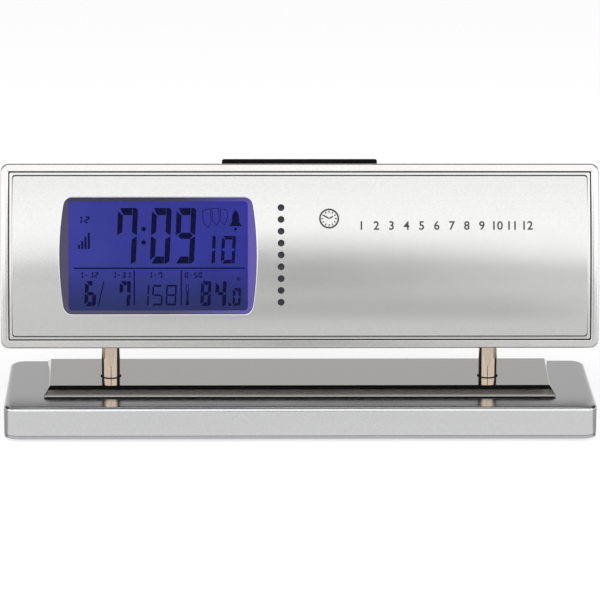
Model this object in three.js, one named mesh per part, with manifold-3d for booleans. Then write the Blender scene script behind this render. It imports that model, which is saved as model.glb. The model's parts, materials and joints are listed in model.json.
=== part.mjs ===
// A digital desk clock in millimetres: a leaning head on two posts over a weighted base.
// +X is to the right of someone who reads the clock, the front faces -Y and +Z is up.
// The origin is under the middle of the base, on the surface that the feet stand on.
// Head pieces are drawn in the head's own axes: x right, y to the back, z up along the face.
import * as THREE from "three";
import { mergeVertices } from "three/addons/utils/BufferGeometryUtils.js";
import Module from "manifold-3d";

const wasm = await Module();
wasm.setup();

// Clearances
const FIT = 0.3;
const SLIDE_FIT = 0.25;
const BOLT_FIT = 0.15;
const PAST = 2;

// Base
const BASE_W = 200;
const BASE_D = 58;
const BASE_CORNER_R = 5;
const BASE_EDGE_R = 1.2;
const BASE_TOP_Z = 12;
const BASE_WALL = 2.4;
const BASE_CEILING = 2.5;
const FLOOR_LIP = 1.1;
const FLOOR_PAN = 2.2;
const FOOT_H = 1.1;
const FOOT_R = 5;
const FOOT_SINK = 0.5;
const FOOT_INSET = 12;
const DECK_H = 2.8;
const DECK_LAND = 0.5;
const DECK_SIDE_MARGIN = 13;
const DECK_FRONT_MARGIN = 12.4;
const DECK_BACK_MARGIN = 1.2;
const DECK_SIDE_RUN = 2;
const DECK_FRONT_RUN = 5;
const DECK_BACK_RUN = 7;
const BALLAST_W = 112;
const BALLAST_D = 40;
const BALLAST_H = 3;

// Posts
const POST_R = 3.15;
const POST_SPACING = 129;
const POST_RING_R = 3.75;
const POST_RING_H = 0.3;
const POST_BOLT_R = 1.5;
const POST_BOLT_HEAD_R = 4.6;
const POST_BOLT_HEAD_H = 1.8;
const POST_THREAD_L = 9;

// Head
const LEAN = THREE.MathUtils.degToRad(15);
const HEAD_W = 203;
const HEAD_H = 62.6;
const HEAD_CORNER_R = 2.8;
const HEAD_EDGE = 0.8;
const HEAD_DEPTH = 21.6;
const HEAD_BACK_R = 2.4;
const HEAD_CLEARANCE = 13;
const POST_SETBACK = 11.5;
const HEAD_WALL = 1.8;
const RIM_W = 2.7;
const RIM_BOW = 2.1;
const PARTING_Y = 4.2;
const TONGUE_L = 1;
const TONGUE_T = 1.1;
const TONGUE_ROOT = 1.2;
const LEDGE_W = 3;
const LEDGE_T = 1.5;
const SOCKET_DEPTH = 7;
const SOCKET_WALL = 1.8;

// Face plate
const SEAM = 0.45;
const FLANGE_W = 0.95;
const FIELD_STEP = 0.4;
const FIELD_R = 80;
const PLATE_T = 0.8;
const PLATE_BACK_Y = 1.2;
const DOT_COUNT = 9;
const DOT_R = 1.16;
const DOT_PITCH = 4;
const DOT_X = -6.55;
const DOT_Z = 0.3;
const FELT_W = 4;
const FELT_T = 0.6;
const FELT_OVERRUN = 1.6;

// Display
const WINDOW_W = 60.7;
const WINDOW_H = 37;
const WINDOW_X = -48.1;
const WINDOW_R = 1.3;
const FLARE_RUN = 0.7;
const LENS_Y = -1.15;
const LENS_T = 1.05;
const LENS_LAP = 0.9;
const SURROUND_RIM = 5.6;
const LCD_LAP = 2.4;
const LCD_T = 2;
const BACKLIGHT_T = 3;
const BACKLIGHT_H = 36;
const FRAME_WALL = 1.6;
const FRAME_BACK_T = 1.2;
const STRIP_W = 54;
const STRIP_H = 2.4;

// Electronics
const BOARD_T = 1.6;
const BOARD_OVERRUN = 3;
const CHIP_SIDE = 11;
const CHIP_CORNER_R = 3.6;
const CHIP_H = 1.4;
const CHIP_X = 25;
const CHIP_Z = 12;
const CRYSTAL_R = 1.5;
const CRYSTAL_L = 8;
const CRYSTAL_Z = -2;
const THERMISTOR_R = 1.6;
const THERMISTOR_H = 3;
const THERMISTOR_Z = -14;
const BUZZER_R = 9;
const BUZZER_H = 3.2;
const BUZZER_X = 2;
const BUZZER_Z = 3;
const SOUND_HOLE_R = 0.9;
const SOUND_RING_R = 4.5;
const SOUND_HOLES = 6;
const ROD_R = 4;
const ROD_BOARD_GAP = 10;
const ROD_BOSS_GAP = 1.9;
const ROD_Y = 9.2;
const ROD_Z = 22.4;
const COIL_R = 5.4;
const COIL_END = 10;
const CRADLE_W = 4;
const CRADLE_INSET = 5;

// Snooze bar
const BAR_L = 53;
const BAR_D = 7;
const BAR_PROUD = 1.8;
const BAR_R = 1.2;
const BAR_Y = 12.4;
const BAR_TRAVEL = 1;
const BAR_LIP = 1.4;
const BAR_LIP_H = 1.2;
const BAR_RIB_L = 6;
const BAR_RIB_H = 1.6;
const SNOOZE_BOARD_L = 66;
const SNOOZE_BOARD_D = 6;
const SNOOZE_BOARD_T = 1.2;
const SNOOZE_SWITCH_SIDE = 5;
const SNOOZE_SWITCH_H = 2.4;
const HANGER_W = 4;

// Rear buttons and alarm slider
const BUTTON_L = 9;
const BUTTON_H = 5;
const BUTTON_PROUD = 0.9;
const BUTTON_TRAVEL = 0.7;
const BUTTON_LIP = 1;
const BUTTON_LIP_T = 1;
const BUTTON_COLUMNS = 3;
const BUTTON_ROWS = 2;
const BUTTON_PITCH_X = 17;
const BUTTON_PITCH_Z = 12;
const BUTTON_X = -56;
const BUTTON_Z = 6;
const MAT_T = 1;
const MAT_MARGIN = 5;
const MAT_PILL_R = 2;
const SLIDER_TRAVEL = 4;
const SLIDER_L = 4;
const SLIDER_H = 2.4;
const SLIDER_PROUD = 1.2;
const SLIDER_X = -56;
const SLIDER_Z = -15;
const SLIDER_FOOT_DEPTH = 1.6;
const SLIDER_BODY_MARGIN = 2.4;

// Battery bay
const CELL_R = 5.25;
const CELL_L = 44.5;
const CELL_NUB_R = 1.9;
const CELL_NUB_L = 0.9;
const CELL_GAP = 0.8;
const BAY_X = 46;
const BAY_Z = 1;
const BAY_END = 4;
const BAY_SIDE = 0.8;
const BAY_WALL = 1.2;
const DOOR_T = 1.6;
const DOOR_LEDGE = 2;
const DOOR_NOTCH_R = 6;
const DOOR_NOTCH_DEPTH = 0.8;
const DOOR_NOTCH_INSET = 9;
const CONTACT_T = 0.5;
const TAB_H = 5.2;
const SPRING_R = 2.6;
const SPRING_WIRE_R = 0.35;
const SPRING_TURNS = 4;

// Screws
const SCREW_R = 1.25;
const SCREW_HEAD_R = 2.5;
const SCREW_HEAD_H = 1.4;
const COVER_SCREW_L = 11;
const COVER_SCREW_INSET = 7.4;
const COVER_BOSS_R = 3.2;
const BASE_SCREW_L = 6;
const BASE_SCREW_INSET_X = 26;
const BASE_SCREW_INSET_Y = 10;
const BASE_BOSS_R = 3.4;
const SCREW_SLOT_W = 0.6;
const SCREW_SLOT_DEPTH = 0.5;

// Facet counts
const ARC_STEPS = 20;
const CORNER_SIDES = 4;
const ROUND_SIDES = 20;
const SMALL_SIDES = 12;
const WIRE_SIDES = 6;

// Sizes that follow from the ones above
const floorTopZ = FOOT_H + FLOOR_LIP;
const shellBottomZ = floorTopZ + BOLT_FIT;
const panTopZ = floorTopZ + FLOOR_PAN;
const ceilingZ = BASE_TOP_Z - BASE_CEILING;
const deckTopZ = BASE_TOP_Z + DECK_H;
const deckFrontY = -BASE_D / 2 + DECK_FRONT_MARGIN;
const deckBackY = BASE_D / 2 - DECK_BACK_MARGIN;
const deckHalfW = BASE_W / 2 - DECK_SIDE_MARGIN;
const footX = BASE_W / 2 - FOOT_INSET;
const footY = BASE_D / 2 - FOOT_INSET;
const baseScrewX = BASE_W / 2 - BASE_SCREW_INSET_X;
const baseScrewY = BASE_D / 2 - BASE_SCREW_INSET_Y;
const postX = POST_SPACING / 2;
const headHalfW = HEAD_W / 2;
const headHalfH = HEAD_H / 2;
const headY = headHalfH * Math.sin(LEAN) - POST_SETBACK * Math.cos(LEAN);
const headZ = deckTopZ + HEAD_CLEARANCE + headHalfH * Math.cos(LEAN);
const innerBackY = HEAD_DEPTH - HEAD_WALL;
const coverFrontY = PARTING_Y + FIT;
const socketTopZ = -headHalfH + SOCKET_DEPTH;
const pocketW = HEAD_W - 2 * RIM_W;
const pocketH = HEAD_H - 2 * RIM_W;
const flangeW = pocketW - 2 * SEAM;
const flangeH = pocketH - 2 * SEAM;
const fieldW = flangeW - 2 * FLANGE_W;
const fieldH = flangeH - 2 * FLANGE_W;
const rimR = (headHalfH ** 2 + RIM_BOW ** 2) / (2 * RIM_BOW);
const fieldEdgeY = bowY(rimR, -RIM_BOW, fieldH / 2) - FIELD_STEP;
const fieldApexY = fieldEdgeY - (FIELD_R - Math.sqrt(FIELD_R ** 2 - (fieldH / 2) ** 2));
const ledgeY = PLATE_BACK_Y + FIT;
const ledgeBackY = ledgeY + LEDGE_T;
const lensBackY = LENS_Y + LENS_T;
const lensW = WINDOW_W + 2 * LENS_LAP;
const lensH = WINDOW_H + 2 * LENS_LAP;
const surroundBackY = lensBackY + FIT;
const lcdW = WINDOW_W + 2 * LCD_LAP;
const lcdH = WINDOW_H + 2 * LCD_LAP;
const lcdY = surroundBackY + FIT;
const backlightY = lcdY + LCD_T + FIT;
const frameFloorY = backlightY + BACKLIGHT_T + FIT;
const frameBackY = frameFloorY + FRAME_BACK_T;
const frameW = lcdW + 2 * FIT + 2 * FRAME_WALL;
const frameH = lcdH + 2 * FIT + 2 * FRAME_WALL;
const stripZ = -lcdH / 2 + STRIP_H;
const backlightZ = lcdH / 2 - BACKLIGHT_H / 2;
const boardY = frameBackY + FIT;
const boardBackY = boardY + BOARD_T;
const boardW = frameW + 2 * BOARD_OVERRUN;
const onBoardY = boardBackY + FIT;
const barLipTopZ = headHalfH - HEAD_WALL - FIT;
const barBottomZ = barLipTopZ - BAR_LIP_H - BAR_RIB_H;
const switchTopZ = barBottomZ - BAR_TRAVEL - FIT;
const snoozeBoardTopZ = switchTopZ - SNOOZE_SWITCH_H - FIT;
const buttonLipY = innerBackY - FIT - BUTTON_LIP_T;
const matPillTopY = buttonLipY - BUTTON_TRAVEL - FIT;
const sliderFootY = innerBackY - FIT - SLIDER_FOOT_DEPTH;
const bayW = CELL_L + 2 * BAY_END;
const bayH = 4 * CELL_R + CELL_GAP + 2 * BAY_SIDE;
const doorY = HEAD_DEPTH - DOOR_T;
const doorSeatY = doorY - FIT;
const bayFloorY = doorSeatY - 2 * CELL_R - 2 * FIT;
const cellY = bayFloorY + FIT + CELL_R;
const cellZ = CELL_R + CELL_GAP / 2;
const coverScrewX = headHalfW - COVER_SCREW_INSET;
const coverScrewZ = headHalfH - COVER_SCREW_INSET;
const coverBossY = innerBackY - SCREW_HEAD_H;
const rodLeft = SNOOZE_BOARD_L / 2 + ROD_BOARD_GAP;
const rodRight = coverScrewX - COVER_BOSS_R - ROD_BOSS_GAP;

// Head axes to clock axes
const head = new THREE.Group();
head.position.set(0, headY, headZ);
head.rotation.x = -LEAN;
head.updateMatrix();
const toHead = head.matrix.clone().invert();

// Finishes
function finish(color, roughness, metalness) {
  return new THREE.MeshStandardMaterial({ color, roughness, metalness });
}
const silverPaint = finish(0xc9c9c9, 0.35, 0.8);
const satinAluminium = finish(0xd6d6d4, 0.4, 0.9);
const polishedSilver = finish(0xb2b1ae, 0.15, 0.9);
const polishedSteel = finish(0xc2b5a6, 0.08, 1);
const plainSteel = finish(0x9a9a9a, 0.35, 1);
const blackRubber = finish(0x1b1b1c, 0.8, 0);
const blackGloss = finish(0x0c0c0d, 0.2, 0);
const blackPlastic = finish(0x151516, 0.45, 0);
const darkPlastic = finish(0x5a5670, 0.4, 0);
const greyPlastic = finish(0x8d8e90, 0.5, 0);
const whitePlastic = finish(0xe6e6e2, 0.5, 0);
const clearPlastic = finish(0xf2f4ff, 0.05, 0);
const displayGlass = finish(0x3b4092, 0.2, 0);
const lightGuide = finish(0x6a74ff, 0.4, 0);
const boardGreen = finish(0x1f5a34, 0.5, 0);
const ferriteGrey = finish(0x35332f, 0.7, 0);
const copperWire = finish(0xb56a3a, 0.4, 0.8);
const brassPlate = finish(0xc8a955, 0.35, 0.9);
const cellJacket = finish(0x3f6f52, 0.4, 0.2);
const blackFelt = finish(0x2a2b2f, 0.95, 0);

// Solids and cuts
function solid(geometry) {
  const bare = geometry.index ? geometry.toNonIndexed() : geometry.clone();
  bare.deleteAttribute("normal");
  bare.deleteAttribute("uv");
  const merged = mergeVertices(bare, 1e-4);
  const mesh = new wasm.Mesh({
    numProp: 3,
    vertProperties: merged.attributes.position.array,
    triVerts: new Uint32Array(merged.index.array),
  });
  return new wasm.Manifold(mesh);
}

function geometryOf(body) {
  const mesh = body.getMesh();
  const geometry = new THREE.BufferGeometry();
  geometry.setAttribute("position", new THREE.BufferAttribute(mesh.vertProperties, mesh.numProp));
  geometry.setIndex(new THREE.BufferAttribute(mesh.triVerts, 1));
  geometry.computeVertexNormals();
  return geometry;
}

function cut(body, ...tools) {
  return tools.reduce((left, tool) => left.subtract(tool), body);
}

function join(body, ...others) {
  return others.reduce((whole, other) => whole.add(other), body);
}

// Outlines and prisms
function roundedRect(width, height, radius, x = 0, y = 0) {
  const right = width / 2;
  const top = height / 2;
  const shape = new THREE.Shape();
  shape.absarc(x + right - radius, y + top - radius, radius, 0, Math.PI / 2);
  shape.absarc(x - right + radius, y + top - radius, radius, Math.PI / 2, Math.PI);
  shape.absarc(x - right + radius, y - top + radius, radius, Math.PI, 1.5 * Math.PI);
  shape.absarc(x + right - radius, y - top + radius, radius, 1.5 * Math.PI, 2 * Math.PI);
  shape.closePath();
  return shape;
}

function disc(radius, x = 0, y = 0) {
  return new THREE.Shape().absarc(x, y, radius, 0, 2 * Math.PI);
}

function polygon(points) {
  return new THREE.Shape(points.map(([u, v]) => new THREE.Vector2(u, v)));
}

// Each round stretch of the outline gets the given number of flat sides.
function extrude(shape, depth, sides, bevel = {}) {
  return new THREE.ExtrudeGeometry(shape, { depth, curveSegments: sides / 2, bevelEnabled: false, ...bevel });
}

function prismZ(shape, low, high, sides = CORNER_SIDES) {
  return solid(extrude(shape, high - low, sides).translate(0, 0, low));
}

// The outline is in (x, z), and the prism runs along y.
function prismY(shape, low, high, sides = CORNER_SIDES) {
  return solid(extrude(shape, high - low, sides).rotateX(Math.PI / 2).translate(0, high, 0));
}

// The outline is in (y, z), and the prism runs along x.
function prismX(shape, low, high, sides = CORNER_SIDES) {
  const turn = new THREE.Matrix4().set(0, 0, 1, low, 1, 0, 0, 0, 0, 1, 0, 0, 0, 0, 0, 1);
  return solid(extrude(shape, high - low, sides).applyMatrix4(turn));
}

function boxAt(low, high) {
  const size = high.map((value, i) => value - low[i]);
  const middle = high.map((value, i) => (value + low[i]) / 2);
  return solid(new THREE.BoxGeometry(...size).translate(...middle));
}

function rodX(radius, low, high, y, z, sides = ROUND_SIDES) {
  return prismX(disc(radius, y, z), low, high, sides);
}

function rodY(radius, low, high, x, z, sides = SMALL_SIDES) {
  return prismY(disc(radius, x, z), low, high, sides);
}

function rodZ(radius, low, high, x, y, sides = ROUND_SIDES) {
  return prismZ(disc(radius, x, y), low, high, sides);
}

// The y of a bowed front at height z: an arc of the given radius whose most forward point is at apex.
function bowY(radius, apex, z) {
  return apex + radius - Math.sqrt(radius ** 2 - z ** 2);
}

// A cross-section in (y, z) with a bowed front and a flat back.
function bowedSection(radius, apex, halfHeight, back) {
  const front = [];
  for (let i = 0; i <= ARC_STEPS; i++) {
    const z = halfHeight * (1 - (2 * i) / ARC_STEPS);
    front.push([bowY(radius, apex, z), z]);
  }
  return polygon([...front, [back, -halfHeight], [back, halfHeight]]);
}

// A pan-head screw along -z of its own axes, slotted, with the underside of its head at the origin.
function screwBody(length) {
  const profile = [
    [0, -length],
    [SCREW_R, -length],
    [SCREW_R, 0],
    [SCREW_HEAD_R, 0],
    [SCREW_HEAD_R, SCREW_HEAD_H],
    [0, SCREW_HEAD_H],
  ].map(([r, y]) => new THREE.Vector2(r, y));
  const turned = new THREE.LatheGeometry(profile, SMALL_SIDES).rotateX(Math.PI / 2);
  const slotLow = [-SCREW_HEAD_R - PAST, -SCREW_SLOT_W / 2, SCREW_HEAD_H - SCREW_SLOT_DEPTH];
  const slotHigh = [SCREW_HEAD_R + PAST, SCREW_SLOT_W / 2, SCREW_HEAD_H + PAST];
  return cut(solid(turned), boxAt(slotLow, slotHigh));
}

const clock = new THREE.Group();
clock.add(head);

function place(parent, name, material, body) {
  const mesh = new THREE.Mesh(geometryOf(body), material);
  mesh.name = name;
  parent.add(mesh);
  return mesh;
}

const sides = [
  ["left", -1],
  ["right", 1],
];
const ends = [
  ["front", -1],
  ["back", 1],
];

// Base
function roundedSlab(width, depth, radius, edge, low, high) {
  const shape = roundedRect(width - 2 * edge, depth - 2 * edge, radius - edge);
  const bevel = { bevelEnabled: true, bevelSize: edge, bevelThickness: edge, bevelSegments: 3 };
  const slab = solid(extrude(shape, high - low, CORNER_SIDES, bevel).translate(0, 0, low - edge));
  return slab.intersect(boxAt([-width, -depth, low], [width, depth, high]));
}

function makeBaseShell() {
  const outer = roundedSlab(BASE_W, BASE_D, BASE_CORNER_R, BASE_EDGE_R, shellBottomZ, BASE_TOP_Z);
  const innerW = BASE_W - 2 * BASE_WALL;
  const innerD = BASE_D - 2 * BASE_WALL;
  const hollow = roundedRect(innerW, innerD, BASE_CORNER_R - BASE_WALL);
  let shell = cut(outer, prismZ(hollow, shellBottomZ - PAST, ceilingZ));
  for (const [, sx] of sides) {
    shell = cut(shell, rodZ(POST_R + BOLT_FIT, ceilingZ - PAST, BASE_TOP_Z + PAST, sx * postX, 0));
    for (const [, sy] of ends) {
      const [x, y] = [sx * baseScrewX, sy * baseScrewY];
      const boss = rodZ(BASE_BOSS_R, panTopZ + BOLT_FIT, ceilingZ + BASE_CEILING / 2, x, y, SMALL_SIDES);
      const hole = rodZ(SCREW_R + BOLT_FIT, shellBottomZ, ceilingZ, x, y, SMALL_SIDES);
      shell = cut(join(shell, boss), hole);
    }
  }
  place(clock, "base_shell", polishedSilver, shell);
}

function makeBaseDeck() {
  const low = BASE_TOP_Z;
  const bevelZ = low + DECK_LAND;
  const frontBack = polygon([
    [deckFrontY, low],
    [deckBackY, low],
    [deckBackY, bevelZ],
    [deckBackY - DECK_BACK_RUN, deckTopZ],
    [deckFrontY + DECK_FRONT_RUN, deckTopZ],
    [deckFrontY, bevelZ],
  ]);
  const leftRight = polygon([
    [-deckHalfW, low],
    [deckHalfW, low],
    [deckHalfW, bevelZ],
    [deckHalfW - DECK_SIDE_RUN, deckTopZ],
    [-deckHalfW + DECK_SIDE_RUN, deckTopZ],
    [-deckHalfW, bevelZ],
  ]);
  let deck = prismX(frontBack, -deckHalfW, deckHalfW);
  deck = deck.intersect(prismY(leftRight, deckFrontY - PAST, deckBackY + PAST));
  for (const [, sx] of sides) {
    deck = cut(deck, rodZ(POST_R + BOLT_FIT, low - PAST, deckTopZ + PAST, sx * postX, 0));
  }
  place(clock, "base_deck", polishedSilver, deck);
}

function makeFloorPlate() {
  const lip = prismZ(roundedRect(BASE_W, BASE_D, BASE_CORNER_R), FOOT_H, floorTopZ);
  const panW = BASE_W - 2 * BASE_WALL - 2 * FIT;
  const panD = BASE_D - 2 * BASE_WALL - 2 * FIT;
  const pan = prismZ(roundedRect(panW, panD, BASE_CORNER_R - BASE_WALL - FIT), FOOT_H, panTopZ);
  let plate = join(lip, pan);
  for (const [, sx] of sides) {
    for (const [, sy] of ends) {
      const [screwX, screwY] = [sx * baseScrewX, sy * baseScrewY];
      const headPocket = rodZ(SCREW_HEAD_R + FIT, 0, FOOT_H + SCREW_HEAD_H, screwX, screwY, SMALL_SIDES);
      const shankHole = rodZ(SCREW_R + BOLT_FIT, 0, panTopZ + PAST, screwX, screwY, SMALL_SIDES);
      const footSeat = rodZ(FOOT_R + FIT, 0, FOOT_H + FOOT_SINK, sx * footX, sy * footY);
      plate = cut(plate, headPocket, shankHole, footSeat);
    }
  }
  place(clock, "base_floor_plate", polishedSilver, plate);
}

function makeBaseFittings() {
  const halfW = BALLAST_W / 2;
  const halfD = BALLAST_D / 2;
  const ballast = boxAt([-halfW, -halfD, panTopZ], [halfW, halfD, panTopZ + BALLAST_H]);
  place(clock, "ballast_plate", plainSteel, ballast);
  for (const [side, sx] of sides) {
    for (const [end, sy] of ends) {
      const foot = rodZ(FOOT_R, 0, FOOT_H + FOOT_SINK, sx * footX, sy * footY);
      place(clock, `foot_${end}_${side}`, blackRubber, foot);
      const screw = place(clock, `base_screw_${end}_${side}`, plainSteel, screwBody(BASE_SCREW_L));
      screw.rotation.x = Math.PI;
      screw.position.set(sx * baseScrewX, sy * baseScrewY, FOOT_H + SCREW_HEAD_H);
    }
  }
}

// Posts, each bolted up through the base and clamped in a socket under the head
function postTopZ() {
  const mouthZ = deckTopZ + HEAD_CLEARANCE - POST_SETBACK * Math.sin(LEAN);
  return mouthZ + (SOCKET_DEPTH - SOCKET_WALL) / Math.cos(LEAN) - POST_R * Math.tan(LEAN);
}

function makePosts() {
  for (const [side, sx] of sides) {
    const x = sx * postX;
    const rod = rodZ(POST_R, ceilingZ + BOLT_FIT, postTopZ(), x, 0);
    const threadTopZ = ceilingZ + POST_THREAD_L;
    const thread = rodZ(POST_BOLT_R + BOLT_FIT, ceilingZ - PAST, threadTopZ + FIT, x, 0, SMALL_SIDES);
    place(clock, `post_${side}`, polishedSteel, cut(rod, thread));
    const ring = rodZ(POST_RING_R, deckTopZ, deckTopZ + POST_RING_H, x, 0);
    const bore = rodZ(POST_R + BOLT_FIT, deckTopZ - PAST, deckTopZ + PAST, x, 0);
    place(clock, `post_ring_${side}`, blackRubber, cut(ring, bore));
    const boltZ = ceilingZ - POST_BOLT_HEAD_H;
    const boltHead = rodZ(POST_BOLT_HEAD_R, boltZ, ceilingZ, x, 0, SMALL_SIDES);
    const shank = rodZ(POST_BOLT_R, boltZ, threadTopZ, x, 0, SMALL_SIDES);
    place(clock, `post_bolt_${side}`, plainSteel, join(boltHead, shank));
  }
}

// Head casing
function casing(inset, low, high) {
  const shape = roundedRect(HEAD_W - 2 * inset, HEAD_H - 2 * inset, HEAD_CORNER_R - inset / 2);
  return prismY(shape, low, high);
}

function coverScrewSpots() {
  const spots = [];
  for (const [side, sx] of sides) {
    spots.push([`upper_${side}`, sx * coverScrewX, coverScrewZ]);
    spots.push([`lower_${side}`, sx * coverScrewX, -coverScrewZ]);
  }
  return spots;
}

function makeBezel() {
  const front = -RIM_BOW - PAST;
  const bowed = prismX(bowedSection(rimR, -RIM_BOW, headHalfH, PARTING_Y), -headHalfW, headHalfW);
  let bezel = casing(0, front, PARTING_Y).intersect(bowed);
  const pocket = prismY(roundedRect(pocketW, pocketH, SEAM), front, ledgeY);
  const ledge = prismY(roundedRect(flangeW - 2 * LEDGE_W, flangeH - 2 * LEDGE_W, SEAM), front, PARTING_Y);
  bezel = cut(bezel, pocket, ledge, casing(HEAD_WALL, ledgeBackY, PARTING_Y + PAST));
  for (const [, x, z] of coverScrewSpots()) {
    const boss = rodY(COVER_BOSS_R, ledgeY, coverBossY - FIT, x, z);
    const hole = rodY(SCREW_R + BOLT_FIT, ledgeY - PAST, coverBossY, x, z);
    bezel = cut(join(bezel, boss), hole);
  }
  place(head, "front_bezel", silverPaint, bezel);
}

// A space under sloping walls that is as wide as the window at the lens and opens out towards the front.
function windowFlare() {
  const reach = LENS_Y - fieldApexY + PAST;
  const shape = roundedRect(WINDOW_W, WINDOW_H, WINDOW_R, WINDOW_X, 0);
  const bevel = { bevelEnabled: true, bevelSize: reach * FLARE_RUN, bevelThickness: reach, bevelSegments: 1 };
  const flare = extrude(shape, PAST, CORNER_SIDES, bevel).rotateX(Math.PI / 2);
  return solid(flare.translate(0, LENS_Y - reach, 0));
}

// The space under the face plate, down to the given depth behind its front and back to the given y.
function underPlate(depth, halfHeight, back) {
  return bowedSection(FIELD_R - depth, fieldApexY + depth, halfHeight, back);
}

function dotHeights() {
  return Array.from({ length: DOT_COUNT }, (_, i) => DOT_Z + ((DOT_COUNT - 1) / 2 - i) * DOT_PITCH);
}

function makeFacePlate() {
  const flange = prismX(bowedSection(rimR, -RIM_BOW, flangeH / 2, PLATE_BACK_Y), -flangeW / 2, flangeW / 2);
  const field = prismX(bowedSection(FIELD_R, fieldApexY, fieldH / 2, PLATE_BACK_Y), -fieldW / 2, fieldW / 2);
  const innerHalfW = fieldW / 2 - PLATE_T;
  const hollowSection = underPlate(PLATE_T, fieldH / 2 - PLATE_T, PLATE_BACK_Y + PAST);
  const hollow = prismX(hollowSection, -innerHalfW, innerHalfW);
  const window = prismY(roundedRect(WINDOW_W, WINDOW_H, WINDOW_R, WINDOW_X, 0), LENS_Y - FIT, PLATE_BACK_Y);
  let plate = cut(join(flange, field), hollow, windowFlare(), window);
  for (const z of dotHeights()) {
    plate = cut(plate, rodY(DOT_R, fieldApexY - PAST, PLATE_BACK_Y, DOT_X, z));
  }
  place(head, "face_plate", satinAluminium, plate);

  const feltHalfH = ((DOT_COUNT - 1) / 2) * DOT_PITCH + DOT_R + FELT_OVERRUN;
  const feltDepth = PLATE_T + FIT;
  const feltSection = underPlate(feltDepth, feltHalfH, PLATE_BACK_Y);
  const strip = prismX(feltSection, DOT_X - FELT_W / 2, DOT_X + FELT_W / 2);
  const behind = underPlate(feltDepth + FELT_T, feltHalfH + PAST, PLATE_BACK_Y + PAST);
  place(head, "sound_felt", blackFelt, cut(strip, prismX(behind, DOT_X - FELT_W, DOT_X + FELT_W)));
}

// Display, from the tapered surround back to the circuit board
function makeDisplay() {
  const surroundW = WINDOW_W + 2 * SURROUND_RIM;
  const surroundH = WINDOW_H + 2 * SURROUND_RIM;
  const outer = prismY(roundedRect(surroundW, surroundH, WINDOW_R, WINDOW_X, 0), fieldApexY, surroundBackY);
  const space = underPlate(PLATE_T + FIT, fieldH / 2 - PLATE_T - FIT, surroundBackY);
  const block = prismX(space, -fieldW / 2, fieldW / 2).intersect(outer);
  const lensSeat = prismY(roundedRect(lensW, lensH, WINDOW_R, WINDOW_X, 0), LENS_Y, surroundBackY + PAST);
  place(head, "display_surround", darkPlastic, cut(block, windowFlare(), lensSeat));

  const pane = roundedRect(lensW - 2 * FIT, lensH - 2 * FIT, WINDOW_R - FIT, WINDOW_X, 0);
  place(head, "display_lens", clearPlastic, prismY(pane, LENS_Y + BOLT_FIT, lensBackY));

  const left = WINDOW_X - lcdW / 2;
  const right = WINDOW_X + lcdW / 2;
  place(head, "lcd_panel", displayGlass, boxAt([left, lcdY, -lcdH / 2], [right, lcdY + LCD_T, lcdH / 2]));

  const lightLow = [left, backlightY, backlightZ - BACKLIGHT_H / 2];
  const lightHigh = [right, backlightY + BACKLIGHT_T, backlightZ + BACKLIGHT_H / 2];
  place(head, "backlight_panel", lightGuide, boxAt(lightLow, lightHigh));

  const holder = prismY(roundedRect(frameW, frameH, WINDOW_R, WINDOW_X, 0), lcdY, frameBackY);
  const pocketLow = [left - FIT, lcdY - PAST, -lcdH / 2 - FIT];
  const pocket = boxAt(pocketLow, [right + FIT, frameFloorY, lcdH / 2 + FIT]);
  const stripHalfW = STRIP_W / 2;
  const stripHalfH = STRIP_H / 2;
  const stripSlot = boxAt(
    [WINDOW_X - stripHalfW - FIT, lcdY, stripZ - stripHalfH - FIT],
    [WINDOW_X + stripHalfW + FIT, frameBackY + PAST, stripZ + stripHalfH + FIT],
  );
  place(head, "display_frame", whitePlastic, cut(holder, pocket, stripSlot));

  const strip = boxAt(
    [WINDOW_X - stripHalfW, backlightY, stripZ - stripHalfH],
    [WINDOW_X + stripHalfW, frameBackY, stripZ + stripHalfH],
  );
  place(head, "contact_strip", blackRubber, strip);
}

function makeElectronics() {
  const boardLow = [WINDOW_X - boardW / 2, boardY, -frameH / 2];
  const board = boxAt(boardLow, [WINDOW_X + boardW / 2, boardBackY, frameH / 2]);
  place(head, "main_board", boardGreen, board);

  const chipX = WINDOW_X + CHIP_X;
  const blob = roundedRect(CHIP_SIDE, CHIP_SIDE, CHIP_CORNER_R, chipX, CHIP_Z);
  place(head, "clock_chip", blackGloss, prismY(blob, onBoardY, onBoardY + CHIP_H));
  const crystalY = onBoardY + CRYSTAL_R;
  const canLeft = chipX - CRYSTAL_L / 2;
  const crystal = rodX(CRYSTAL_R, canLeft, canLeft + CRYSTAL_L, crystalY, CRYSTAL_Z, SMALL_SIDES);
  place(head, "quartz_crystal", plainSteel, crystal);
  const thermistor = rodY(THERMISTOR_R, onBoardY, onBoardY + THERMISTOR_H, chipX, THERMISTOR_Z);
  place(head, "thermistor", blackGloss, thermistor);

  const buzzerY = innerBackY - FIT;
  const buzzer = rodY(BUZZER_R, buzzerY - BUZZER_H, buzzerY, BUZZER_X, BUZZER_Z, ROUND_SIDES);
  place(head, "piezo_buzzer", blackGloss, buzzer);

  place(head, "ferrite_rod", ferriteGrey, rodX(ROD_R, rodLeft, rodRight, ROD_Y, ROD_Z));
  const winding = rodX(COIL_R, rodLeft + COIL_END, rodRight - COIL_END, ROD_Y, ROD_Z);
  const core = rodX(ROD_R + FIT, rodLeft, rodRight, ROD_Y, ROD_Z);
  place(head, "antenna_coil", copperWire, cut(winding, core));
}

// Rear cover with its openings, sockets and bosses
function socketBlock(sx) {
  const half = POST_R + SOCKET_WALL + BOLT_FIT;
  const x = sx * postX;
  const lowZ = -headHalfH + HEAD_WALL / 2;
  return boxAt([x - half, coverFrontY, lowZ], [x + half, innerBackY + HEAD_WALL / 2, socketTopZ]);
}

function clampScrewZ() {
  return -headHalfH + SOCKET_DEPTH / 2;
}

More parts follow.
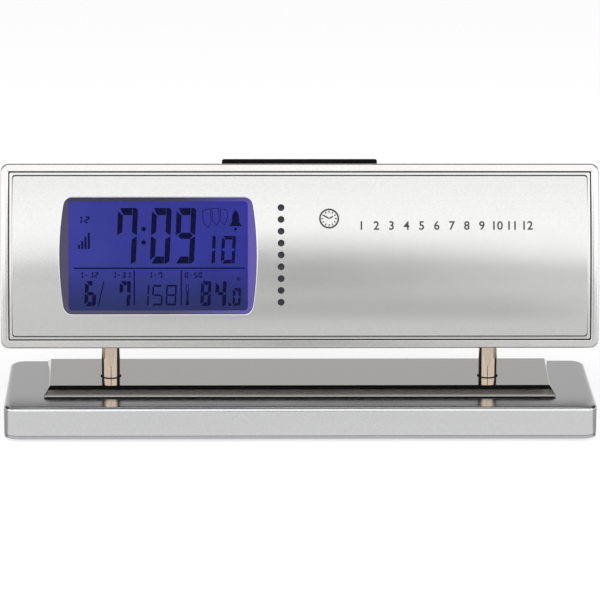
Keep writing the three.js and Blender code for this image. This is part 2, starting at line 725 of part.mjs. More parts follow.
// The y of the back of a post, in head axes, at the height of its clamp screw.
function postBackY() {
  const rise = clampScrewZ() + headHalfH;
  return POST_SETBACK - rise * Math.tan(LEAN) + POST_R / Math.cos(LEAN);
}

function buttonSpots() {
  const spots = [];
  for (let row = 0; row < BUTTON_ROWS; row++) {
    for (let column = 0; column < BUTTON_COLUMNS; column++) {
      const x = BUTTON_X + (column - (BUTTON_COLUMNS - 1) / 2) * BUTTON_PITCH_X;
      const z = BUTTON_Z + ((BUTTON_ROWS - 1) / 2 - row) * BUTTON_PITCH_Z;
      spots.push([x, z]);
    }
  }
  return spots;
}

function coverShell() {
  const flat = roundedRect(HEAD_W - 2 * HEAD_BACK_R, HEAD_H - 2 * HEAD_BACK_R, HEAD_EDGE);
  const bevel = { bevelEnabled: true, bevelSize: HEAD_BACK_R, bevelThickness: HEAD_BACK_R, bevelSegments: 4 };
  const round = extrude(flat, HEAD_DEPTH, CORNER_SIDES, bevel).rotateX(Math.PI / 2);
  const rounded = solid(round.translate(0, HEAD_DEPTH - HEAD_BACK_R, 0));
  const outer = rounded.intersect(casing(0, coverFrontY, HEAD_DEPTH));
  const hollow = casing(HEAD_WALL, coverFrontY - PAST, innerBackY);
  const rootEndY = coverFrontY + TONGUE_ROOT;
  const tongue = casing(HEAD_WALL + FIT, coverFrontY - TONGUE_L, rootEndY);
  const root = casing(HEAD_WALL / 2, coverFrontY, rootEndY);
  const clear = casing(HEAD_WALL + FIT + TONGUE_T, coverFrontY - TONGUE_L - PAST, rootEndY + PAST);
  return join(cut(outer, hollow), cut(join(tongue, root), clear));
}

function bayBlock() {
  const blockW = bayW + 2 * DOOR_LEDGE + 2 * BAY_WALL;
  const blockH = bayH + 2 * DOOR_LEDGE + 2 * BAY_WALL;
  const slimW = bayW + 2 * BAY_WALL;
  const slimH = bayH + 2 * BAY_WALL;
  const rimY = doorSeatY - DOOR_LEDGE;
  const rim = prismY(roundedRect(blockW, blockH, BAY_WALL, BAY_X, BAY_Z), rimY, innerBackY + HEAD_WALL / 2);
  const tub = prismY(roundedRect(slimW, slimH, BAY_WALL, BAY_X, BAY_Z), bayFloorY - BAY_WALL, innerBackY);
  return join(rim, tub);
}

function makeRearCover() {
  let cover = join(coverShell(), bayBlock());
  const bay = prismY(roundedRect(bayW, bayH, BAY_WALL / 2, BAY_X, BAY_Z), bayFloorY, HEAD_DEPTH + PAST);
  const doorSeat = roundedRect(bayW + 2 * DOOR_LEDGE, bayH + 2 * DOOR_LEDGE, BAY_WALL, BAY_X, BAY_Z);
  cover = cut(cover, bay, prismY(doorSeat, doorSeatY, HEAD_DEPTH + PAST));

  for (const [, x, z] of coverScrewSpots()) {
    const boss = rodY(COVER_BOSS_R, coverBossY, innerBackY + HEAD_WALL / 2, x, z);
    const headPocket = rodY(SCREW_HEAD_R + FIT, coverBossY + SCREW_HEAD_H, HEAD_DEPTH + PAST, x, z);
    const shankHole = rodY(SCREW_R + BOLT_FIT, coverBossY - PAST, HEAD_DEPTH, x, z);
    cover = cut(join(cover, boss), headPocket, shankHole);
  }

  for (const [, sx] of sides) {
    const x = sx * postX;
    const boreR = POST_R + BOLT_FIT;
    const boreL = postTopZ() + FIT;
    const bore = new THREE.CylinderGeometry(boreR, boreR, boreL, ROUND_SIDES).rotateX(Math.PI / 2);
    bore.translate(x, 0, boreL / 2).applyMatrix4(toHead);
    const pocketY = HEAD_DEPTH - SCREW_HEAD_H - FIT;
    const headPocket = rodY(SCREW_HEAD_R + FIT, pocketY, HEAD_DEPTH + PAST, x, clampScrewZ());
    const shankHole = rodY(SCREW_R + BOLT_FIT, POST_SETBACK, HEAD_DEPTH, x, clampScrewZ());
    cover = cut(join(cover, socketBlock(sx)), solid(bore), headPocket, shankHole);
  }

  const slot = roundedRect(BAR_L + 2 * SLIDE_FIT, BAR_D + 2 * SLIDE_FIT, BAR_R, 0, BAR_Y);
  cover = cut(cover, prismZ(slot, barLipTopZ, headHalfH + PAST));
  for (const [, sx] of sides) {
    const middle = sx * (SNOOZE_BOARD_L / 2 - HANGER_W / 2);
    const low = [middle - HANGER_W / 2, BAR_Y - SNOOZE_BOARD_D / 2, snoozeBoardTopZ + FIT];
    const high = [middle + HANGER_W / 2, BAR_Y + SNOOZE_BOARD_D / 2, headHalfH - HEAD_WALL / 2];
    const cradleX = sx > 0 ? rodRight - CRADLE_INSET : rodLeft + CRADLE_INSET;
    const cradleLow = [cradleX - CRADLE_W / 2, ROD_Y, ROD_Z - ROD_R];
    const cradleHigh = [cradleX + CRADLE_W / 2, innerBackY + HEAD_WALL / 2, ROD_Z + ROD_R];
    const rodSeat = rodX(ROD_R + FIT, cradleX - CRADLE_W, cradleX + CRADLE_W, ROD_Y, ROD_Z);
    cover = join(cover, boxAt(low, high), cut(boxAt(cradleLow, cradleHigh), rodSeat));
  }

  for (const [x, z] of buttonSpots()) {
    const hole = roundedRect(BUTTON_L + 2 * SLIDE_FIT, BUTTON_H + 2 * SLIDE_FIT, BUTTON_H / 2, x, z);
    cover = cut(cover, prismY(hole, innerBackY - PAST, HEAD_DEPTH + PAST));
  }
  const sliderL = SLIDER_L + SLIDER_TRAVEL + 2 * SLIDE_FIT;
  const sliderH = SLIDER_H + 2 * SLIDE_FIT;
  const sliderSlot = roundedRect(sliderL, sliderH, SLIDE_FIT, SLIDER_X + SLIDER_TRAVEL / 2, SLIDER_Z);
  cover = cut(cover, prismY(sliderSlot, innerBackY - PAST, HEAD_DEPTH + PAST));

  for (let i = 0; i < SOUND_HOLES; i++) {
    const angle = (i / SOUND_HOLES) * 2 * Math.PI;
    const x = BUZZER_X + SOUND_RING_R * Math.cos(angle);
    const z = BUZZER_Z + SOUND_RING_R * Math.sin(angle);
    cover = cut(cover, rodY(SOUND_HOLE_R, innerBackY - PAST, HEAD_DEPTH + PAST, x, z));
  }
  place(head, "rear_cover", blackPlastic, cover);
}

function makeCoverScrews() {
  for (const [spot, x, z] of coverScrewSpots()) {
    const screw = place(head, `cover_screw_${spot}`, plainSteel, screwBody(COVER_SCREW_L));
    screw.rotation.x = -Math.PI / 2;
    screw.position.set(x, coverBossY + SCREW_HEAD_H + BOLT_FIT, z);
  }
  for (const [side, sx] of sides) {
    const headSeatY = HEAD_DEPTH - SCREW_HEAD_H;
    const length = headSeatY - postBackY() - FIT;
    const screw = place(head, `post_clamp_screw_${side}`, plainSteel, screwBody(length));
    screw.rotation.x = -Math.PI / 2;
    screw.position.set(sx * postX, headSeatY, clampScrewZ());
  }
}

// Snooze bar: a lip keeps it in its slot, and a rib under it presses the switch
function makeSnooze() {
  const top = headHalfH + BAR_PROUD;
  const cap = roundedRect(BAR_L, BAR_D, BAR_R, 0, BAR_Y);
  const lip = roundedRect(BAR_L + 2 * BAR_LIP, BAR_D, BAR_R, 0, BAR_Y);
  const ribLow = [-BAR_RIB_L / 2, BAR_Y - BAR_D / 2, barBottomZ];
  const ribHigh = [BAR_RIB_L / 2, BAR_Y + BAR_D / 2, barLipTopZ];
  const lipZ = barLipTopZ - BAR_LIP_H;
  const bar = join(prismZ(cap, lipZ, top), prismZ(lip, lipZ, barLipTopZ), boxAt(ribLow, ribHigh));
  place(head, "snooze_bar", blackGloss, bar);

  const halfL = SNOOZE_BOARD_L / 2;
  const halfD = SNOOZE_BOARD_D / 2;
  const boardLow = [-halfL, BAR_Y - halfD, snoozeBoardTopZ - SNOOZE_BOARD_T];
  place(head, "snooze_board", boardGreen, boxAt(boardLow, [halfL, BAR_Y + halfD, snoozeBoardTopZ]));
  const switchOutline = roundedRect(SNOOZE_SWITCH_SIDE, SNOOZE_SWITCH_SIDE, SLIDE_FIT, 0, BAR_Y);
  place(head, "snooze_switch", blackGloss, prismZ(switchOutline, snoozeBoardTopZ + FIT, switchTopZ));
}

// Rear push buttons over one rubber mat, and the alarm slider
function makeRearControls() {
  const lipL = BUTTON_L + 2 * BUTTON_LIP;
  const lipH = BUTTON_H + 2 * BUTTON_LIP;
  buttonSpots().forEach(([x, z], i) => {
    const cap = roundedRect(BUTTON_L, BUTTON_H, BUTTON_H / 2, x, z);
    const capBody = prismY(cap, buttonLipY, HEAD_DEPTH + BUTTON_PROUD);
    const lip = roundedRect(lipL, lipH, lipH / 2, x, z);
    const lipBody = prismY(lip, buttonLipY, buttonLipY + BUTTON_LIP_T);
    place(head, `rear_button_${i + 1}`, greyPlastic, join(capBody, lipBody));
  });

  const matW = (BUTTON_COLUMNS - 1) * BUTTON_PITCH_X + 2 * MAT_MARGIN;
  const matH = (BUTTON_ROWS - 1) * BUTTON_PITCH_Z + 2 * MAT_MARGIN;
  let mat = prismY(roundedRect(matW, matH, MAT_T, BUTTON_X, BUTTON_Z), onBoardY, onBoardY + MAT_T);
  for (const [x, z] of buttonSpots()) {
    mat = join(mat, rodY(MAT_PILL_R, onBoardY, matPillTopY, x, z));
  }
  place(head, "keypad_mat", greyPlastic, mat);

  const knob = boxAt(
    [SLIDER_X - SLIDER_L / 2, sliderFootY, SLIDER_Z - SLIDER_H / 2],
    [SLIDER_X + SLIDER_L / 2, HEAD_DEPTH + SLIDER_PROUD, SLIDER_Z + SLIDER_H / 2],
  );
  place(head, "alarm_slider", blackGloss, knob);
  const reach = SLIDER_L / 2 + SLIDER_BODY_MARGIN;
  const bodyHalfH = SLIDER_H / 2 + SLIDER_BODY_MARGIN;
  const body = boxAt(
    [SLIDER_X - reach, onBoardY, SLIDER_Z - bodyHalfH],
    [SLIDER_X + SLIDER_TRAVEL + reach, innerBackY - FIT, SLIDER_Z + bodyHalfH],
  );
  const track = boxAt(
    [SLIDER_X - SLIDER_L / 2 - FIT, sliderFootY - FIT, SLIDER_Z - SLIDER_H / 2 - FIT],
    [SLIDER_X + SLIDER_TRAVEL + SLIDER_L / 2 + FIT, innerBackY + PAST, SLIDER_Z + SLIDER_H / 2 + FIT],
  );
  place(head, "alarm_switch_body", plainSteel, cut(body, track));
}

// Battery bay: two cells side by side, end to end opposed, with a jumper at one end
function coilSpring(xFrom, xTo, y, z) {
  const turns = SPRING_TURNS * SMALL_SIDES;
  const points = Array.from({ length: turns + 1 }, (_, i) => {
    const angle = (i / SMALL_SIDES) * 2 * Math.PI;
    const x = xFrom + ((xTo - xFrom) * i) / turns;
    return new THREE.Vector3(x, y + SPRING_R * Math.cos(angle), z + SPRING_R * Math.sin(angle));
  });
  const path = new THREE.CatmullRomCurve3(points);
  const wire = new THREE.ExtrudeGeometry(disc(SPRING_WIRE_R), {
    steps: turns,
    curveSegments: WIRE_SIDES / 2,
    extrudePath: path,
    bevelEnabled: false,
  });
  return solid(wire);
}

function makeBatteries() {
  const bodyL = CELL_L - CELL_NUB_L;
  const cells = [
    ["upper", 1],
    ["lower", -1],
  ];
  for (const [name, way] of cells) {
    const z = BAY_Z + way * cellZ;
    const flatEnd = BAY_X - (way * CELL_L) / 2;
    const shoulder = flatEnd + way * bodyL;
    const tip = flatEnd + way * CELL_L;
    const barrel = rodX(CELL_R, Math.min(flatEnd, shoulder), Math.max(flatEnd, shoulder), cellY, z);
    const nub = rodX(CELL_NUB_R, Math.min(flatEnd, tip), Math.max(flatEnd, tip), cellY, z, SMALL_SIDES);
    place(head, `battery_${name}`, cellJacket, join(barrel, nub));
  }

  const wallLeft = BAY_X - bayW / 2 + FIT;
  const wallRight = BAY_X + bayW / 2 - FIT;
  const plateLow = cellY - CELL_R;
  const plateHigh = cellY + CELL_R;
  const jumperLow = [wallRight - CONTACT_T, plateLow, BAY_Z - bayH / 2 + BAY_SIDE];
  const jumper = boxAt(jumperLow, [wallRight, plateHigh, BAY_Z + bayH / 2 - BAY_SIDE]);
  place(head, "battery_jumper", brassPlate, jumper);
  const tabRight = wallLeft + CONTACT_T;
  const plusZ = BAY_Z - cellZ;
  const plusTab = boxAt([wallLeft, plateLow, plusZ - TAB_H / 2], [tabRight, plateHigh, plusZ + TAB_H / 2]);
  place(head, "battery_plus_contact", brassPlate, plusTab);
  const minusZ = BAY_Z + cellZ;
  const minusTab = boxAt([wallLeft, plateLow, minusZ - TAB_H / 2], [tabRight, plateHigh, minusZ + TAB_H / 2]);
  const springEnd = BAY_X - CELL_L / 2 - FIT - SPRING_WIRE_R;
  const spring = coilSpring(wallLeft + CONTACT_T / 2, springEnd, cellY, minusZ);
  place(head, "battery_minus_spring", brassPlate, join(minusTab, spring));

  const doorW = bayW + 2 * DOOR_LEDGE - 2 * FIT;
  const doorH = bayH + 2 * DOOR_LEDGE - 2 * FIT;
  const slab = prismY(roundedRect(doorW, doorH, BAY_WALL, BAY_X, BAY_Z), doorY, HEAD_DEPTH);
  const notchX = BAY_X - doorW / 2 + DOOR_NOTCH_INSET;
  const notchY = HEAD_DEPTH - DOOR_NOTCH_DEPTH;
  const notch = rodY(DOOR_NOTCH_R, notchY, HEAD_DEPTH + PAST, notchX, BAY_Z, ROUND_SIDES);
  place(head, "battery_door", blackPlastic, cut(slab, notch));
}

makeBaseShell();
makeBaseDeck();
makeFloorPlate();
makeBaseFittings();
makePosts();
makeBezel();
makeFacePlate();
makeDisplay();
makeElectronics();
makeRearCover();
makeCoverScrews();
makeSnooze();
makeRearControls();
makeBatteries();

export default clock;
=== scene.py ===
"""Looks, light and camera for a digital desk clock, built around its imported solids.

The scene is in metres: +X is right, the front faces -Y and +Z is up. Sizes of the clock's pieces are in
millimetres, those of the stage in metres. Head pieces are drawn in the head's own axes: x right, y to the
back, z up along the face.
"""
import json
import math

import bmesh
import bpy
from mathutils import Matrix, Vector
from mathutils.geometry import delaunay_2d_cdt


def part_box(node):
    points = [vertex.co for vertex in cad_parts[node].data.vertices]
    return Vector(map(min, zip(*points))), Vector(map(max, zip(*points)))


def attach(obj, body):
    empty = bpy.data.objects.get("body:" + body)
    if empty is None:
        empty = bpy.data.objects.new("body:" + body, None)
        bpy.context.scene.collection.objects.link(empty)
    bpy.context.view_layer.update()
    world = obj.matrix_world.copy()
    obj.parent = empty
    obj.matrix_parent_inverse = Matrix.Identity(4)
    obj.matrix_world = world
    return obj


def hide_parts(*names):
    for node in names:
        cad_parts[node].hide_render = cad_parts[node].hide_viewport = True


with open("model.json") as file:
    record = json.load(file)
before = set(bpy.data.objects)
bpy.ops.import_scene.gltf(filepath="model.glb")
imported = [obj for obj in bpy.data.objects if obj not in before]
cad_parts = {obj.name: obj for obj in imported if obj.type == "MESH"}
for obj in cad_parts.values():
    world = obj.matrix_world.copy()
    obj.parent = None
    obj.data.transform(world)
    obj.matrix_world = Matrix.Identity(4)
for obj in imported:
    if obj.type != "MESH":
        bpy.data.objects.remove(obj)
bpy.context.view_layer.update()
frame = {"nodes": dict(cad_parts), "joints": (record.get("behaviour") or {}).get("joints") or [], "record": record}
nodes = frame["nodes"]
record = frame["record"]
slot_of = {row["node"]: row["material_slot"] for row in record["subparts"]}
body_of = {node: body for body, members in record["behaviour"]["bodies"].items() for node in members}
scene = bpy.context.scene
MM = 0.001

# Head case and face
HEAD_CORNER_R = 2.8
RIM_SIDE_EASE = 1.7
RIM_END_EASE = 0.6
RIM_EASE_DROP = 0.85
RIM_EASE_STEPS = 8
RIM_W = 2.7
RIM_BOW = 2.1
PARTING_Y = 4.2
POCKET_R = 0.35
POCKET_EDGE = 0.28
POCKET_SIDE_EDGE = 0.85
SEAM = 0.36
FLANGE_W = 1.04
FLANGE_R = 0.4
FLANGE_EDGE = 0.1
GROOVE_END_W = 0.3
GROOVE_SIDE_W = 0.2
GROOVE_DEPTH = 0.8
LINE_SINK = 0.12
LINE_FIT = 0.02
FIELD_R = 80
FIELD_STEP = 0.4
FIELD_CORNER_R = 1.0
FIELD_EDGE = 0.3
PLATE_T = 0.8
PLATE_BACK_Y = 1.2
SHEET_STEP_X = 4
SHEET_STEP_Z = 1.5
SHEET_MARGIN = 0.7
FRONT_REACH = 0.002
DOT_COUNT = 9
DOT_R = 1.16
DOT_PITCH = 4
DOT_X = -6.55
DOT_Z = 0.3
DOT_SIDES = 24

# Display
WINDOW_W = 60.7
WINDOW_H = 37
WINDOW_R = 1.3
WINDOW_X = -48.1
FLARE_RUN = 0.7
FLARE_ROUNDS = 12
LIP_R = 0.55
LIP_FIT = 0.04
LENS_Y = -1.15
LENS_LAP = 0.6
LENS_FIT = 0.15
LENS_GAP = 0.03
LENS_BACK_Y = -0.1
SURROUND_FIT = 0.1
SURROUND_RIM = 5.6
SURROUND_BACK_Y = 0.2
LCD_EDGE = 0.15
FIGURE_T = 0.05
FIGURE_GAP = 0.01
INK_T = 0.04
INK_GAP = 0.02

# Snooze bar
BAR_CORNER_R = 1.2
BAR_EDGE = 0.7

# Base
BASE_CORNER_R = 5
BASE_EDGE_IN = 1.9
BASE_EDGE_DOWN = 1.3
BASE_EDGE_STEPS = 9
BASE_FOOT_EDGE = 0.12
BASE_FOOT_STEPS = 3
BASE_FOOT_GAP = 0.06
FLOOR_PLATE_EDGE_H = 1.1
BASE_WALL = 2.4
BASE_CEILING = 2.5
DECK_LIP = 0.42
DECK_UNDERCUT = 0.4
# A dark pad under the deck paints the shadow line at its foot; the deck's underside sits on it
SHADOW_PAD_T = 0.32
DECK_SIDE_RUN_FRONT = 2
DECK_SIDE_RUN_BACK = 1.3
# Degrees, from the foot of the front slope up
DECK_SLOPES = (26.2, 24.2, 23.2, 22.3, 21.4)
DECK_FRONT_OUT = 0.6
DECK_BACK_RUN = 7
DECK_EDGE = 0.24
SHADOW_PAD_INSET = 0.6
ROUND_SIDES = 72
POST_EDGE = 0.3
RING_W = 0.42
RING_H = 0.16

# Mesh fineness
SMOOTH_ANGLE = math.radians(35)
BEVEL_ANGLE = math.radians(15)
QUARTER_TURN = math.radians(90)
CORNER_STEPS = 6
SIDE_STEPS = 24
ROUND_STEPS = 5
SMALL_ROUND_STEPS = 4
EDGE_STEPS = 2
WELD_GAP = 0.002
SAME_PLANE_ANGLE = math.radians(0.5)
SHEET_WELD_GAP = 1e-7

# Head axes, from the bar button's own direction and the bezel's extent
press = next(joint for joint in frame["joints"] if joint["name"] == "snooze_press")
lean = math.asin(-press["axis"][1])
turn = Matrix.Rotation(-lean, 4, "X")
upright = [turn.inverted() @ vertex.co for vertex in nodes["front_bezel"].data.vertices]
head_front = min(point.y for point in upright) + RIM_BOW * MM
head_low = min(point.z for point in upright)
head_high = max(point.z for point in upright)
HEAD = turn @ Matrix.Translation((0, head_front, (head_low + head_high) / 2))
CLOCK = Matrix.Identity(4)


def points_in(node, axes):
    """A node's points in the given axes, in millimetres."""
    inverse = axes.inverted()
    return [inverse @ vertex.co / MM for vertex in nodes[node].data.vertices]


def box_in(node, axes):
    """Lowest and highest corner of a node in the given axes, in millimetres."""
    points = points_in(node, axes)
    low = Vector([min(point[i] for point in points) for i in range(3)])
    high = Vector([max(point[i] for point in points) for i in range(3)])
    return low, high


bezel_low, bezel_high = box_in("front_bezel", HEAD)
HEAD_W = bezel_high.x - bezel_low.x
HEAD_H = bezel_high.z - bezel_low.z
POCKET_W = HEAD_W - 2 * RIM_W
POCKET_H = HEAD_H - 2 * RIM_W
FLANGE_OUT_W = POCKET_W - 2 * SEAM
FLANGE_OUT_H = POCKET_H - 2 * SEAM
FIELD_W = FLANGE_OUT_W - 2 * FLANGE_W
FIELD_H = FLANGE_OUT_H - 2 * FLANGE_W
RIM_R = ((HEAD_H / 2) ** 2 + RIM_BOW**2) / (2 * RIM_BOW)


def rim(z):
    """How far back the bezel's slightly bowed front lies at height z."""
    return RIM_R - math.sqrt(RIM_R**2 - z * z) - RIM_BOW


FIELD_APEX_Y = rim(FIELD_H / 2) - FIELD_STEP - FIELD_R + math.sqrt(FIELD_R**2 - (FIELD_H / 2) ** 2)


def field(z):
    """How far back the convex face lies at height z."""
    return FIELD_R - math.sqrt(FIELD_R**2 - z * z) + FIELD_APEX_Y


def flat(y):
    """A depth curve that stays at y."""
    return lambda z: y


def behind(curve, drop):
    """A depth curve that lies a drop behind another."""
    return lambda z: curve(z) + drop


# Outlines and shells
def outline(width, height, radius, x=0.0, z=0.0, side_steps=SIDE_STEPS):
    """Points of a rounded rectangle with their outward directions, anticlockwise."""
    points = []
    for turn_number, (sx, sz) in enumerate(((1, 1), (-1, 1), (-1, -1), (1, -1))):
        corner_x = x + sx * (width / 2 - radius)
        corner_z = z + sz * (height / 2 - radius)
        for step in range(CORNER_STEPS + 1):
            angle = QUARTER_TURN * (turn_number + step / CORNER_STEPS)
            nx, nz = math.cos(angle), math.sin(angle)
            points.append((corner_x + radius * nx, corner_z + radius * nz, nx, nz))
        if turn_number in (1, 3):
            for step in range(1, side_steps):
                along_side = sz * (height / 2 - radius) * (1 - 2 * step / side_steps)
                points.append((x + sx * width / 2, z + along_side, sx, 0))
    return points


def circle(radius, x, z, sides):
    angles = [math.tau * i / sides for i in range(sides)]
    return [(x + radius * math.cos(a), z + radius * math.sin(a), math.cos(a), math.sin(a)) for a in angles]


def moved(point, offset, depth):
    """An outline's point moved out by offset, standing on the curve that gives y for each z."""
    x, z, nx, nz = point
    return x + nx * offset, depth(z + nz * offset), z + nz * offset


def level(points, offset, depth):
    """An outline moved out by the same offset all round, on a depth curve."""
    return [moved(point, offset, depth) for point in points]


def eased(points, share, depth, side, end):
    """An outline drawn in by a share of a rounding, which has its own width at the sides and the ends."""
    ring = []
    for point in points:
        nx, nz = point[2:]
        inset = share * (side * nx * nx + end * nz * nz)
        ring.append(moved(point, -inset, depth))
    return ring


def plan(points, offset, height):
    """An outline moved out by offset, lying flat at a height."""
    return [(x + nx * offset, y + ny * offset, height) for x, y, nx, ny in points]


def lying(left, right, front, back, height):
    """Corners of a rectangle that lies flat at a height."""
    return [(left, front, height), (right, front, height), (right, back, height), (left, back, height)]


def quarter(radius, steps=ROUND_STEPS):
    """(inset, drop) pairs round an edge, from its side to its front."""
    angles = [QUARTER_TURN * step / steps for step in range(steps + 1)]
    return [(radius * (1 - math.cos(a)), radius * (1 - math.sin(a))) for a in angles]


class Shell:
    """Points in millimetres and the faces between them."""

    def __init__(self):
        self.points = []
        self.faces = []

    def ring(self, points):
        start = len(self.points)
        self.points += points
        return list(range(start, len(self.points)))

    def bridge(self, near, far):
        count = len(near)
        for i in range(count):
            k = (i + 1) % count
            self.faces.append((near[i], near[k], far[k], far[i]))

    def loft(self, sections, closed=False, capped=False):
        rings = [self.ring(section) for section in sections]
        for near, far in zip(rings, rings[1:]):
            self.bridge(near, far)
        if closed:
            self.bridge(rings[-1], rings[0])
        if capped:
            self.faces += [tuple(rings[0]), tuple(rings[-1])]
        return rings

    def sheet(self, edge, holes, loose):
        """Triangles between an edge ring and its hole rings, over loose points in between."""
        rings = [edge, *holes]
        indices = [index for ring in rings for index in ring]
        owners = [number for number, ring in enumerate(rings) for _ in ring]
        borders = []
        start = 0
        for ring in rings:
            count = len(ring)
            borders += [(start + i, start + (i + 1) % count) for i in range(count)]
            start += count
        indices += self.ring(loose)
        owners += [0] * len(loose)
        flat_points = [Vector((self.points[i][0], self.points[i][2])) for i in indices]
        all_triangles = 0
        triangles = delaunay_2d_cdt(flat_points, borders, [], all_triangles, SHEET_WELD_GAP)[2]
        for face in triangles:
            ring_numbers = {owners[i] for i in face}
            in_hole = len(ring_numbers) == 1 and ring_numbers != {0}
            if not in_hole:
                self.faces.append(tuple(indices[i] for i in face))

    def slab(self, polygon, front, back):
        """A flat polygon of (x, z) points between two depth curves."""
        self.loft([[(x, depth(z), z) for x, z in polygon] for depth in (front, back)], capped=True)


def round_edges(bm, width, segments=EDGE_STEPS):
    """Rounds the sharp edges of a mesh, width in millimetres."""
    sharp = [e for e in bm.edges if e.is_manifold and e.calc_face_angle() > BEVEL_ANGLE]
    bmesh.ops.bevel(
        bm, geom=sharp, offset=width * MM, offset_type="OFFSET", segments=segments,
        profile=0.5, affect="EDGES", clamp_overlap=True,
    )


def new_object(name, data):
    """An object of the given data, linked to the scene."""
    obj = bpy.data.objects.new(name, data)
    scene.collection.objects.link(obj)
    return obj


def add_object(name, bm, slot, replaced, body, dress=None, even_flats=True):
    """Makes a mesh a piece on a body, in its slot's finish or the one that dress names."""
    bmesh.ops.recalc_face_normals(bm, faces=bm.faces)
    mesh = bpy.data.meshes.new(name)
    bm.to_mesh(mesh)
    bm.free()
    mesh.shade_smooth()
    mesh.set_sharp_from_angle(angle=SMOOTH_ANGLE)
    mesh.materials.append(finishes[dress or slot])
    piece = new_object(name, mesh)
    if even_flats:
        even = piece.modifiers.new("even_flats", "WEIGHTED_NORMAL")
        even.keep_sharp = True
    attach(piece, body)
    if replaced:
        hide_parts(*replaced)
    return piece


def add_shell(
    name, shell, slot, replaced=(), body="clock", axes=HEAD, edge=None, dress=None, even_flats=True,
):
    """Makes a piece from a shell drawn in the given axes, its edges rounded by a width."""
    bm = bmesh.new()
    corners = [bm.verts.new(axes @ (Vector(point) * MM)) for point in shell.points]
    for face in shell.faces:
        bm.faces.new([corners[i] for i in face])
    bmesh.ops.recalc_face_normals(bm, faces=bm.faces)
    if edge:
        round_edges(bm, edge)
    return add_object(name, bm, slot, replaced, body, dress, even_flats)


def add_loft(name, sections, slot, replaced=(), closed=False, **options):
    """Makes a piece from its sections, joined into a ring or else capped at both ends."""
    shell = Shell()
    shell.loft(sections, closed, capped=not closed)
    add_shell(name, shell, slot, replaced, **options)


def refine(node, name, width, segments):
    """A copy of a solid with its facets merged and its edges rounded, in the solid's place."""
    bm = bmesh.new()
    bm.from_mesh(nodes[node].data)
    bmesh.ops.remove_doubles(bm, verts=bm.verts, dist=WELD_GAP * MM)
    bmesh.ops.dissolve_limit(bm, angle_limit=SAME_PLANE_ANGLE, verts=bm.verts, edges=bm.edges)
    round_edges(bm, width, segments)
    add_object(name, bm, slot_of[node], [node], body_of[node])


# Finishes
NOISE_LOW = 0.3
NOISE_HIGH = 0.7
# Places of a mix node's colour sockets
MIX_COLOUR_IN = (6, 7)
MIX_COLOUR_OUT = 2
PANE_ALPHA = 0.03
PANE_COLOURS = ((0.02, 0.02, 0.05, 1), (0.03, 0.03, 0.07, 1))
PANE_GRAIN = 400
PANE_PATCH = 60
PANE_GLOSS = (0.1, 0.2)
LCD_LEFT = (0.042, 0.049, 0.3, 1)
LCD_RIGHT = (0.034, 0.038, 0.295, 1)
LCD_LOW = (0.024, 0.033, 0.112, 1)
LCD_FOOT_SHARE = 0.55
LCD_BLOTCH = 45
LCD_DETAIL = 3
LCD_LEVELS = (0.88, 1.12)
LCD_BLACK = (0.002, 0.002, 0.008, 1)
LCD_ROUGHNESS = 0.4
LCD_SHINE = 0.02
FIGURE_BLACK = (0.002, 0.002, 0.006, 1)
FIGURE_TINTS = ((0.001, 0.0015, 0.026, 1), (0.002, 0.003, 0.042, 1))
FIGURE_BLOTCH = 60
SURROUND_COLOURS = ((0.075, 0.067, 0.11, 1), (0.097, 0.088, 0.14, 1))
SURROUND_GRAIN = 1800
SURROUND_PATCH = 120
SURROUND_GLOSS = (0.38, 0.46)
SURROUND_RELIEF = (3500, 4e-6)
# Painted glow on the window walls: the display's blue light on them, painted in as emission
SURROUND_PAINTED_GLOW_COLOUR = (0.1, 0.07, 0.6, 1)
SURROUND_PAINTED_GLOW_LEVEL = 0.48


def new_material(name):
    material = bpy.data.materials.new(name)
    material.use_nodes = True
    tree = material.node_tree
    return material, tree, tree.nodes["Principled BSDF"]


def fill(node, values):
    """Sets a node's inputs, each to a plain value or to another node's output."""
    for name, value in values.items():
        socket = node.inputs[name]
        if isinstance(value, bpy.types.NodeSocket):
            node.id_data.links.new(value, socket)
        else:
            socket.default_value = value


def noise(tree, scale, detail=2):
    """Noise over the object's own coordinates, scale in features per metre."""
    place = tree.nodes.new("ShaderNodeTexCoord")
    texture = tree.nodes.new("ShaderNodeTexNoise")
    fill(texture, {"Vector": place.outputs["Object"], "Scale": scale, "Detail": detail})
    return texture.outputs["Fac"]


def spread(tree, value, low, high):
    """Stretches the middle of a noise value over a range."""
    remap = tree.nodes.new("ShaderNodeMapRange")
    fill(remap, {"Value": value, "From Min": NOISE_LOW, "From Max": NOISE_HIGH})
    fill(remap, {"To Min": low, "To Max": high})
    return remap.outputs["Result"]


def blend(tree, value, dark, light):
    """Runs from a dark to a light colour over the middle of a noise value."""
    ramp = tree.nodes.new("ShaderNodeValToRGB")
    stops = ((NOISE_LOW, dark), (NOISE_HIGH, light))
    for element, (position, colour) in zip(ramp.color_ramp.elements, stops):
        element.position = position
        element.color = colour
    fill(ramp, {"Fac": value})
    return ramp.outputs["Color"]


def colour_mix(tree, factor, first, second):
    """Mixes two colours, each a plain colour or another node's output."""
    node = tree.nodes.new("ShaderNodeMix")
    node.data_type = "RGBA"
    first_in, second_in = MIX_COLOUR_IN
    fill(node, {"Factor": factor, first_in: first, second_in: second})
    return node.outputs[MIX_COLOUR_OUT]


def combine(tree, operation, first, second):
    """Maths on two values, each a plain number or another node's output."""
    node = tree.nodes.new("ShaderNodeMath")
    node.operation = operation
    fill(node, {0: first, 1: second})
    return node.outputs["Value"]


def coordinate(tree, space, axis):
    """One coordinate of a point in the given space."""
    place = tree.nodes.new("ShaderNodeTexCoord")
    axes = tree.nodes.new("ShaderNodeSeparateXYZ")
    fill(axes, {"Vector": place.outputs[space]})
    return axes.outputs[axis]


